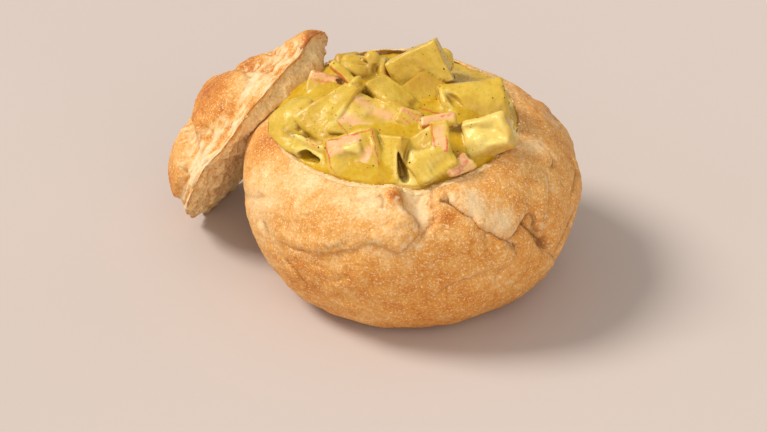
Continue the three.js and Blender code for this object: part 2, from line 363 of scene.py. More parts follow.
def tint(red: int, green: int, blue: int) -> tuple[float, float, float, float]:
    """Colour of 0 to 255 numbers on a screen, as the shader's linear numbers."""
    linear = [((v / 255 + 0.055) / 1.055) ** 2.4 if v > 10 else v / 3294.6 for v in (red, green, blue)]
    return (*linear, 1.0)


def feed(tree: Tree, socket: Socket, value: object) -> None:
    """Links a socket to another one, or sets its number, colour or other value.

    Args:
        tree: The tree that it is in.
        socket: The input.
        value: The other socket, or the value.
    """
    if isinstance(value, Socket):
        tree.links.new(value, socket)
    else:
        socket.default_value = value


def add_node(tree: Tree, kind: str, **inputs: object) -> bpy.types.Node:
    """Adds a node to a tree.

    Args:
        tree: The tree.
        kind: The node's type.
        **inputs: Links or values of its inputs, by name with _ for a space.

    Returns:
        The new node.
    """
    node = tree.nodes.new(kind)
    for key, value in inputs.items():
        feed(tree, node.inputs[key.replace("_", " ")], value)
    return node


class NodeSheet:
    """A new material's node tree, with short calls for the nodes that the finishes use."""

    FIRST, SECOND, MIXED = 6, 7, 2  # sockets of the mix node for colours

    def __init__(self, name: str) -> None:
        """Makes an empty material with its output and its place on the piece.

        Args:
            name: The material's name.
        """
        self.material = bpy.data.materials.new(name)
        self.material.use_nodes = True
        self.tree = self.material.node_tree
        self.tree.nodes.clear()
        self.output = self.tree.nodes.new("ShaderNodeOutputMaterial")
        self.place = self.tree.nodes.new("ShaderNodeTexCoord").outputs["Object"]

    def noise(self, size: float, detail: float = 3.0, rough: float = 0.5, bend: float = 0.0) -> Socket:
        """Noise from 0 to 1.

        Args:
            size: Width of its lumps, in millimetres.
            detail: Number of finer layers.
            rough: Strength of the finer layers.
            bend: How far the lumps are drawn out of shape.

        Returns:
            The noise.
        """
        scale = 1 / (size * MM)
        node = add_node(self.tree, "ShaderNodeTexNoise", Vector=self.place, Scale=scale, Detail=detail,
                        Roughness=rough, Distortion=bend)
        return node.outputs["Fac"]

    def spots(self, size: float) -> Socket:
        """Distance to scattered spots about `size` millimetres apart."""
        node = add_node(self.tree, "ShaderNodeTexVoronoi", Vector=self.place, Scale=1 / (size * MM))
        return node.outputs["Distance"]

    def value(self, name: str) -> Socket:
        """A named value of the mesh's points."""
        node = self.tree.nodes.new("ShaderNodeAttribute")
        node.attribute_name = name
        return node.outputs["Fac"]

    def maths(self, kind: str, first: Socket | float, second: Socket | float) -> Socket:
        """Sum, product or other operation on two numbers.

        Args:
            kind: The operation.
            first: One number.
            second: The other one.

        Returns:
            The result.
        """
        node = self.tree.nodes.new("ShaderNodeMath")
        node.operation = kind
        feed(self.tree, node.inputs[0], first)
        feed(self.tree, node.inputs[1], second)
        return node.outputs[0]

    def plus(self, first: Socket | float, second: Socket | float) -> Socket:
        """Sum of two numbers."""
        return self.maths("ADD", first, second)

    def times(self, first: Socket | float, second: Socket | float) -> Socket:
        """Product of two numbers."""
        return self.maths("MULTIPLY", first, second)

    def swing(self, noise: Socket, width: float) -> Socket:
        """Noise moved so that it swings about 0, from -width / 2 to width / 2."""
        return self.times(self.maths("SUBTRACT", noise, 0.5), width)

    def spread(
        self, value: Socket, low: float, high: float, to_low: float = 0.0, to_high: float = 1.0
    ) -> Socket:
        """A number carried smoothly from one range to another and kept inside it.

        Args:
            value: The number.
            low: Start of its range.
            high: End of its range.
            to_low: Start of the new range.
            to_high: End of the new range.

        Returns:
            The number in the new range.
        """
        node = self.tree.nodes.new("ShaderNodeMapRange")
        node.interpolation_type = "SMOOTHSTEP"
        feed(self.tree, node.inputs["Value"], value)
        for key, number in zip(("From Min", "From Max", "To Min", "To Max"), (low, high, to_low, to_high)):
            node.inputs[key].default_value = number
        return node.outputs[0]

    def ramp(self, value: Socket, stops: tuple) -> Socket:
        """Colour that runs through stops.

        Args:
            value: Where on the ramp the colour is read.
            stops: Position and colour of each stop.

        Returns:
            The colour.
        """
        node = add_node(self.tree, "ShaderNodeValToRGB", Fac=value)
        elements = node.color_ramp.elements
        while len(elements) < len(stops):
            elements.new(1.0)
        for element, (position, colour) in zip(elements, stops):
            element.position = position
            element.color = colour
        return node.outputs["Color"]

    def mixed(self, share: Socket, first: Socket, second: Socket | tuple) -> Socket:
        """Mix of two colours.

        Args:
            share: How much of the second one shows.
            first: One colour.
            second: The other one.

        Returns:
            The mix.
        """
        node = self.tree.nodes.new("ShaderNodeMix")
        node.data_type = "RGBA"
        node.blend_type = "MIX"
        node.clamp_factor = True
        feed(self.tree, node.inputs["Factor"], share)
        feed(self.tree, node.inputs[self.FIRST], first)
        feed(self.tree, node.inputs[self.SECOND], second)
        return node.outputs[self.MIXED]

    def bump(self, height: Socket, depth: float, strength: float = 1.0) -> Socket:
        """Fine relief, `depth` millimetres from its lowest to its highest.

        Args:
            height: Shape of the relief, from 0 to 1.
            depth: Its depth.
            strength: How strongly it shows.

        Returns:
            The relief's directions.
        """
        node = self.tree.nodes.new("ShaderNodeBump")
        node.inputs["Strength"].default_value = strength
        node.inputs["Distance"].default_value = depth * MM
        feed(self.tree, node.inputs["Height"], height)
        return node.outputs[0]

    def finish(
        self, colour: Socket, rough: Socket | float, normal: Socket | None, **numbers: float
    ) -> Material:
        """Joins colour, roughness and relief into the surface.

        Args:
            colour: Base colour.
            rough: Roughness.
            normal: Relief.
            **numbers: Further inputs of the surface, by name with _ for a space.

        Returns:
            The material.
        """
        surface = self.tree.nodes.new("ShaderNodeBsdfPrincipled")
        feed(self.tree, surface.inputs["Base Color"], colour)
        feed(self.tree, surface.inputs["Roughness"], rough)
        if normal is not None:
            feed(self.tree, surface.inputs["Normal"], normal)
        for key, number in numbers.items():
            surface.inputs[key.replace("_", " ")].default_value = number
        self.tree.links.new(surface.outputs[0], self.output.inputs["Surface"])
        return self.material


@dataclass(frozen=True)
class BreadFinish:
    """Baked bread: toasted crust with pale specks, floury patches, painted shade in its folds and open
    crumb.

    It reads the values bake, flour, crease, crumb and pore_shade of the mesh. Crease is painted shade
    in the folds' grooves, pore_shade is painted shade in the crumb's pits, and flour also holds the
    folds' pale lips, partly paler torn crust and partly a painted highlight.
    """

    name: str
    toast: float = 0.45  # how brown the crust is, from 0 to 1

    FLOUR = tint(242, 214, 168)
    # painted shade in the creases' grooves
    FOLD = tint(128, 74, 28)
    GOLDEN = tint(226, 166, 90)
    SPECK = tint(254, 226, 180)
    CRUST = (
        (0.0, tint(252, 226, 178)), (0.28, tint(242, 196, 132)), (0.5, tint(227, 161, 76)),
        (0.75, tint(208, 126, 36)), (1.0, tint(172, 86, 14)),
    )
    CRUMB = ((0.2, tint(238, 172, 100)), (0.42, tint(255, 212, 146)), (0.64, tint(255, 232, 178)))
    CLOUDS, MOTTLE, FINE, BAKED = 0.6, 0.75, 0.62, 0.45  # what each adds to the browning
    FLOURED, FOLDED = 0.66, 0.55  # how far flour and the painted shade in the folds hide the crust's colour

    def _crust(self, sheet: NodeSheet) -> Socket:
        """Colour of the crust.

        Args:
            sheet: The material's sheet.

        Returns:
            The colour.
        """
        broad = sheet.noise(34, 3)
        middle = sheet.noise(8, 5, 0.62, 0.6)
        fine = sheet.noise(1.3, 4, 0.6)
        mottle = sheet.swing(middle, self.MOTTLE)
        brown = sheet.plus(sheet.plus(mottle, sheet.swing(broad, self.CLOUDS)), self.toast)
        brown = sheet.plus(brown, sheet.swing(fine, self.FINE))
        brown = sheet.plus(brown, sheet.times(sheet.value("bake"), self.BAKED))
        crust = sheet.ramp(brown, self.CRUST)
        specks = sheet.spread(sheet.noise(0.9, 1, 0.5, 0.6), 0.58, 0.66)
        seen = sheet.spread(sheet.value("bake"), 1.2, 0.5, 0.12, 0.6)
        crust = sheet.mixed(sheet.times(specks, seen), crust, self.SPECK)
        # flour, and the folds' pale lips, which are partly paler torn crust and partly a painted highlight
        dusty = sheet.plus(sheet.value("flour"), sheet.swing(sheet.noise(2.4, 4, 0.6), 1.5))
        dusty = sheet.spread(dusty, 0.1, 0.9)
        crust = sheet.mixed(sheet.times(dusty, self.FLOURED), crust, self.FLOUR)
        # painted shade in the creases' grooves
        return sheet.mixed(sheet.times(sheet.value("crease"), self.FOLDED), crust, self.FOLD)

    def material(self) -> Material:
        """Builds the finish.

        Returns:
            The material.
        """
        sheet = NodeSheet(self.name)
        crust = self._crust(sheet)
        pores = sheet.noise(1.5, 5, 0.65, 0.4)
        # the crumb is painted darker in its pits: painted shade
        holes = sheet.spread(sheet.value("pore_shade"), 0.0, 1.0)
        crumb = sheet.ramp(sheet.maths("SUBTRACT", pores, sheet.times(holes, 0.2)), self.CRUMB)
        patchy = sheet.spread(pores, 0.64, 0.36, 0.2, 0.9)
        crumb = sheet.mixed(sheet.times(sheet.value("bake"), patchy), crumb, self.GOLDEN)
        open_part = sheet.plus(sheet.value("crumb"), sheet.swing(sheet.noise(2.0, 3, 0.6), 0.7))
        open_part = sheet.spread(open_part, 0.3, 0.7)
        colour = sheet.mixed(open_part, crust, crumb)
        grainy = sheet.times(sheet.noise(1.1, 5, 0.7), 0.7)
        porous = sheet.times(pores, sheet.plus(sheet.times(open_part, 1.6), 0.5))
        height = sheet.plus(grainy, porous)
        rough = sheet.spread(open_part, 0.0, 1.0, 0.62, 0.85)
        return sheet.finish(colour, rough, sheet.bump(height, 0.7, 0.9), Specular_IOR_Level=0.35)


class CurryTone(Enum):
    """Sorts of crab piece, by what shows through the sauce, or, for the olive sort, painted shade that
    darkens the piece towards one end.
    """

    CREAM = "cream"
    PINK = "pink"
    RED = "red"
    # painted shade, darker towards one end of the piece
    OLIVE = "olive"


@dataclass(frozen=True)
class CurryFinish:
    """Thick yellow sauce, bare or as a coat over crab, with flecks of spice, painted shade on shaded faces
    and in the gaps between pieces, and paler edges that are partly a painted highlight.

    It reads the values pale, olive, edge, gap, pink and red of the mesh.
    """

    name: str

    PALE = tint(248, 226, 138)
    # painted shade, and also the colour of fine spice dust
    OLIVE = tint(184, 130, 22)
    PINK = tint(239, 184, 138)
    RED = tint(210, 84, 54)
    FLECK = tint(120, 82, 14)
    SAUCE = ((0.28, tint(184, 131, 2)), (0.45, tint(203, 160, 20)), (0.68, tint(218, 184, 62)))
    SHADES = (  # value of the mesh, how strongly it shows, and its colour; the second and fourth are painted shade, the third a paler edge, partly a thinner coat and partly a painted highlight
        ("pale", 0.6, PALE), ("olive", 0.6, OLIVE), ("edge", 0.5, PALE), ("gap", 0.85, tint(128, 84, 4)),
    )
    SHOWN_THROUGH = 0.8  # how strongly pink flesh and red skin show through the sauce

    def _through(self, sheet: NodeSheet, value: Socket, low: float, high: float) -> Socket:
        """How strongly the crab's own colour shows, from where it starts to where it is full."""
        return sheet.times(sheet.spread(value, low, high), self.SHOWN_THROUGH)

    def material(self) -> Material:
        """Builds the finish.

        Returns:
            The material.
        """
        sheet = NodeSheet(self.name)
        broad = sheet.noise(11, 4, 0.55, 0.5)
        fine = sheet.noise(2.2, 4, 0.6)
        cloud = sheet.plus(sheet.times(broad, 0.75), sheet.times(fine, 0.25))
        colour = sheet.ramp(cloud, self.SAUCE)
        for value, strength, shade in self.SHADES:
            colour = sheet.mixed(sheet.times(sheet.value(value), strength), colour, shade)
        broken = sheet.swing(sheet.noise(2.6, 4, 0.6), 0.9)
        blush = sheet.plus(sheet.value("pink"), broken)
        colour = sheet.mixed(self._through(sheet, blush, 0.25, 0.9), colour, self.PINK)
        streaks = sheet.swing(sheet.noise(1.4, 3, 0.6), 1.1)
        ruddy = sheet.plus(sheet.value("red"), streaks)
        colour = sheet.mixed(self._through(sheet, ruddy, 0.3, 0.8), colour, self.RED)
        dots = sheet.spread(sheet.spots(1.7), 0.2, 0.1)
        few = sheet.spread(sheet.noise(4, 2), 0.42, 0.6)
        colour = sheet.mixed(sheet.times(sheet.times(dots, few), 0.55), colour, self.FLECK)
        dust = sheet.spread(sheet.noise(1.1, 2, 0.6), 0.6, 0.72)
        colour = sheet.mixed(sheet.times(dust, 0.22), colour, self.OLIVE)
        height = sheet.plus(fine, sheet.times(sheet.noise(0.8, 3, 0.5), 0.3))
        gloss = sheet.spread(fine, 0.3, 0.7, 0.25, 0.38)
        return sheet.finish(
            colour, gloss, sheet.bump(height, 0.35, 0.6),
            Specular_IOR_Level=0.36, Subsurface_Weight=0.12, Subsurface_Scale=0.003,
        )


@dataclass(frozen=True)
class GrainFinish:
    """Ground spice, herb or crumbs: one colour family, mottled from grain to grain."""

    name: str
    dark: tuple[float, float, float, float]
    light: tuple[float, float, float, float]
    size: float = 1.2  # width of its mottling, in millimetres

    def material(self) -> Material:
        """Builds the finish.

        Returns:
            The material.
        """
        sheet = NodeSheet(self.name)
        colour = sheet.ramp(sheet.noise(self.size, 3), ((0.35, self.dark), (0.65, self.light)))
        return sheet.finish(colour, 0.7, sheet.bump(sheet.noise(0.3, 2), 0.1), Specular_IOR_Level=0.3)


@dataclass(frozen=True)
class FloorFinish:
    """Plain pale floor with the faintest unevenness."""

    name: str = "floor"

    PALE = ((0.3, tint(201, 188, 180)), (0.7, tint(204, 191, 183)))

    def material(self) -> Material:
        """Builds the finish.

        Returns:
            The material.
        """
        sheet = NodeSheet(self.name)
        colour = sheet.ramp(sheet.noise(400, 2), self.PALE)
        return sheet.finish(colour, 0.9, None, Specular_IOR_Level=0.1)


# ---- folds in a crust ----


@dataclass(frozen=True)
class Crease:
    """Fold in a crust along a path. The crust on the left as one walks it stands proud.

    Sizes are millimetres, and the path is in the surface's own two coordinates. The path, the
    depth and the width come first; the rest is named.
    """

    path: tuple[tuple[float, float], ...]
    depth: float = 1.5
    width: float = 1.4
    proud: float = 0.0
    reach: float = 8.0
    lip: float = 0.0
    # painted shade along the groove
    dark: float = 0.5
    wander: float = 0.8
    fade: tuple[float, float] = (0.12, 0.12)
    firm: float = 0.7  # 1 or more keeps it unbroken
    pale: float = 0.5  # how pale the torn lip is: paler torn crust, partly a painted highlight

    STEPS = 14  # points between two corners of the path
    DRIFT = (Layer(WANDER, 1.0, 7.0), Layer(WANDER, 0.5, 2.6))
    BREAKS = Layer(WANDER, 0.75, 8.0)
    FLAKES = (Layer(TORN, 1.0, 2.4), Layer(TORN, 0.6, 6.0))

    def route(self, surface: "LoafShape | CapShape") -> tuple[Places, Places]:
        """Lays the path on a surface.

        Args:
            surface: What it runs over.

        Returns:
            Points of the path, and the direction to its left at each.
        """
        corners = np.array([self.path[0], *self.path, self.path[-1]], float)
        share = np.arange(self.STEPS)[:, None] / self.STEPS
        rounded = []
        for a, b, c, d in zip(corners, corners[1:], corners[2:], corners[3:]):
            bend = (2 * a - 5 * b + 4 * c - d) * share**2
            rounded.append(0.5 * (2 * b + (c - a) * share + bend + (3 * b - a - 3 * c + d) * share**3))
        rounded = np.concatenate([*rounded, corners[-1:]])
        points = surface.reach(rounded[:, 0], rounded[:, 1])
        left = np.cross(surface.outward(points), np.gradient(points, axis=0))
        left /= np.linalg.norm(left, axis=1, keepdims=True)
        return points + left * (self.wander * lifted(self.DRIFT, points))[:, None], left

    def fold(self, base: Places, surface: "LoafShape | CapShape") -> tuple[Values, Places, Values, Values]:
        """Relief that the crease gives to points of the surface.

        Args:
            base: The surface's points before any relief.
            surface: What they lie on.

        Returns:
            Height to add, sideways shift to add, painted shade in the fold and paleness of its lip, each
            for every point.
        """
        route, left = self.route(surface)
        height, dark, pale = np.zeros((3, len(base)))
        shift = np.zeros_like(base)
        margin = 2.2 * self.reach
        low, high = route.min(axis=0) - margin, route.max(axis=0) + margin
        near = np.flatnonzero(np.all((base > low) & (base < high), axis=1))
        if not len(near):
            return height, shift, dark, pale
        gap = base[near, None, :] - route[None, :, :]
        far = (gap**2).sum(axis=2)
        closest = far.argmin(axis=1)
        rows = np.arange(len(near))
        distance = np.sqrt(far[rows, closest])
        side = left[closest]
        signed = distance * np.sign((gap[rows, closest] * side).sum(axis=1))
        along = closest / (len(route) - 1)
        start, stop = self.fade
        ends = (ease(along, 0, start) if start else 1) * (ease(1 - along, 0, stop) if stop else 1)
        ends = ends * np.clip(self.firm + self.BREAKS.at(base[near]), 0.12, 1.25)
        groove = -0.8 * self.depth * np.exp(-((distance / (1.35 * self.width)) ** 1.4))
        rise = self.proud * bell(signed / self.reach) * (1 - 0.6 * bell(signed / self.width))
        sink = -0.25 * self.proud * bell(signed / (0.8 * self.reach))
        height[near] = ends * (groove + np.where(signed > 0, rise, sink))
        hang = self.lip * np.where(signed > 0, bell(signed / (2.2 * self.width)), 0) * ends
        shift[near] = -side * hang[:, None]
        # painted shade along the groove, a little to its sunk side
        dark[near] = self.dark * ends * bell((signed + 0.2 * self.width) / (0.75 * self.width))
        # pale torn lip on the proud side: paler torn crust, partly a painted highlight
        flaky = ease(lifted(self.FLAKES, base[near]), -0.35, 0.4)
        pale[near] = self.pale * ends * flaky * bell((signed - 1.3 * self.width) / (0.9 * self.width))
        return height, shift, dark, pale


@dataclass
class Folds:
    """What a crust's creases do to its points."""

    height: Values
    shift: Places
    # painted shade in the grooves
    dark: Values
    # pale lips: paler torn crust, partly a painted highlight
    lips: Values

    @classmethod
    def over(
        cls, base: Places, surface: "LoafShape | CapShape", creases: Sequence[Crease], height: Values
    ) -> "Folds":
        """Adds up the creases.

        Args:
            base: The surface's points before any relief.
            surface: What they lie on.
            creases: The creases, of which the last ones lie on top.
            height: Relief that is there before them.

        Returns:
            The folds at every point, the relief included.
        """
        folds = cls(height.copy(), np.zeros_like(base), np.zeros(len(base)), np.zeros(len(base)))
        for crease in creases:
            rise, sideways, shade, lip = crease.fold(base, surface)
            folds.height += rise
            folds.shift += sideways
            folds.dark = np.maximum(folds.dark, shade)
            folds.lips = np.maximum(folds.lips, lip)
        return folds


@dataclass(frozen=True)
class Spot:
    """Soft round patch on a surface, in the surface's own two coordinates."""

    across: float
    up: float
    width: float
    height: float
    amount: float

    def at(self, across: Values, up: Values) -> Values:
        """Strength of the patch at places on the surface."""
        away = (across - self.across + 180) % 360 - 180
        return self.amount * bell(away / self.width) * bell((up - self.up) / self.height)

    def inside(self, across: Values, up: Values) -> Values:
        """How far places lie inside the patch's outline: 1 at its middle, 0 on the outline."""
        away = (across - self.across + 180) % 360 - 180
        return 1 - (np.abs(away / self.width) ** 3 + np.abs((up - self.up) / self.height) ** 3) ** (1 / 3)


def summed(spots: Sequence[Spot], across: Values, up: Values) -> Values:
    """Strength of several patches together at places on the surface."""
    return sum(spot.at(across, up) for spot in spots)


def wrinkles(points: Places, size: float, depth: float) -> Values:
    """Depth of a loose net of fine wrinkles, which is there in patches only.

    Args:
        points: Where to read it.
        size: Usual distance between wrinkles.
        depth: Depth of the deepest ones.

    Returns:
        How far the surface sinks at each point.
    """
    across = points * (1.0, 1.0, 1.7)
    patch = ease(LUMPS.smooth(points + 9.0, 2.4 * size), -0.1, 0.35)
    line = bell((LUMPS.smooth(across, size) + 0.25 * LUMPS.smooth(across, 0.4 * size)) / 0.07)
    return depth * patch * line


# ---- bread ----


@dataclass(frozen=True)
class Mouth:
    """The round opening that cutting off the cap left. It rises a little towards the back."""

    x: float = -7.0
    y: float = 2.0
    height: float = 86.7
    radius: float = 60.5
    back_rise: float = math.tan(math.radians(2.2))

    def level(self, y: Values) -> Values:
        """Height of the cut at a distance towards the back."""
        return self.height + (y - self.y) * self.back_rise

    def swell(self, x: Values, y: Values) -> Values:
        """How far the torn rim stands above the even cut: low at the front, high at the back."""
        azimuth = np.degrees(np.arctan2(x - self.x, self.y - y))
        front_dip = 2.3 * bell((azimuth - 10) / 11)
        return 4.6 * ease(np.abs(azimuth), 122, 166) - front_dip - 0.8 * bell((azimuth + 22) / 9)


@dataclass(frozen=True)
class Hollow:
    """The scooped-out inside of the loaf. It widens in a curve from its flat floor to the mouth."""

    floor: float
    radius: float
    mouth: Mouth = Mouth()

    def climb_at(self, height: Values) -> Values:
        """Share of the way from the floor to the mouth at a height."""
        return (height - self.floor) / (self.mouth.height - self.floor)

    def radius_at(self, climb: Values) -> Values:
        """Radius at a share of the way from the floor to the mouth."""
        return self.radius + (self.mouth.radius - self.radius) * np.sqrt(1 - (1 - climb) ** 2)


@dataclass(frozen=True)
class LoafShape:
    """Smooth form of the whole loaf, before its folds."""

    radius: float = 85.0
    waist: float = 49.0
    base_radius: float = 48.0
    crown: float = 97.0
    power: float = 2.5
    middle: float = 45.0  # height that latitudes are measured from
    mouth: Mouth = Mouth()

    def radius_at(self, height: Values) -> Values:
        """Radius of the loaf about its own slightly leaning axis.

        Args:
            height: Heights at which it is read.

        Returns:
            The radius at each height.
        """
        low = np.clip((self.waist - height) / self.waist, 0, 1)
        high = np.clip((height - self.waist) / (self.crown - self.waist), 0, 1)
        below = self.base_radius + (self.radius - self.base_radius) * np.sqrt(1 - low**2)
        above = self.radius * (1 - high**self.power) ** (1 / self.power)
        return np.where(height < self.waist, below, above)

    def axis_at(self, height: Values) -> Places:
        """Middle of the loaf at a height, which moves over the mouth as the loaf rises."""
        climb = np.clip((height - self.waist) / (self.mouth.height - self.waist), 0, 1.2) ** 2
        return np.stack([self.mouth.x * climb, self.mouth.y * climb, height], axis=-1)

    def clearance(self, points: Places) -> Values:
        """Horizontal distance from points to the crust, positive outside."""
        axis = self.axis_at(points[:, 2])
        return np.hypot(*(points - axis)[:, :2].T) - self.radius_at(points[:, 2])

    def directions(self, points: Places) -> tuple[Values, Values]:
        """Azimuth and latitude of points, in degrees."""
        azimuth = np.degrees(np.arctan2(points[:, 0], -points[:, 1]))
        latitude = np.degrees(np.arctan2(points[:, 2] - self.middle, np.hypot(*points[:, :2].T)))
        return azimuth, latitude

    def reach(self, azimuth: Values, latitude: Values) -> Places:
        """Finds points of the crust by halving the distance again and again.

        Args:
            azimuth: Directions in degrees.
            latitude: Directions in degrees.

        Returns:
            The points of the crust in those directions.
        """
        azimuth, latitude = np.radians(azimuth), np.radians(latitude)
        ahead, aside = -np.cos(azimuth), np.sin(azimuth)
        level = np.cos(latitude)
        direction = np.stack([level * aside, level * ahead, np.sin(latitude)], axis=1)
        near, far = np.zeros(len(direction)), np.full(len(direction), 120.0)
        for _ in range(30):
            half = (near + far) / 2
            points = direction * half[:, None] + (0, 0, self.middle)
            outside = (self.clearance(points) > 0) | (points[:, 2] < 0)
            near, far = np.where(outside, near, half), np.where(outside, half, far)
        return direction * far[:, None] + (0, 0, self.middle)

    def outward(self, points: Places) -> Places:
        """Rough outward directions at points of the crust."""
        away = points - (0, 0, self.middle)
        return away / np.linalg.norm(away, axis=1, keepdims=True)


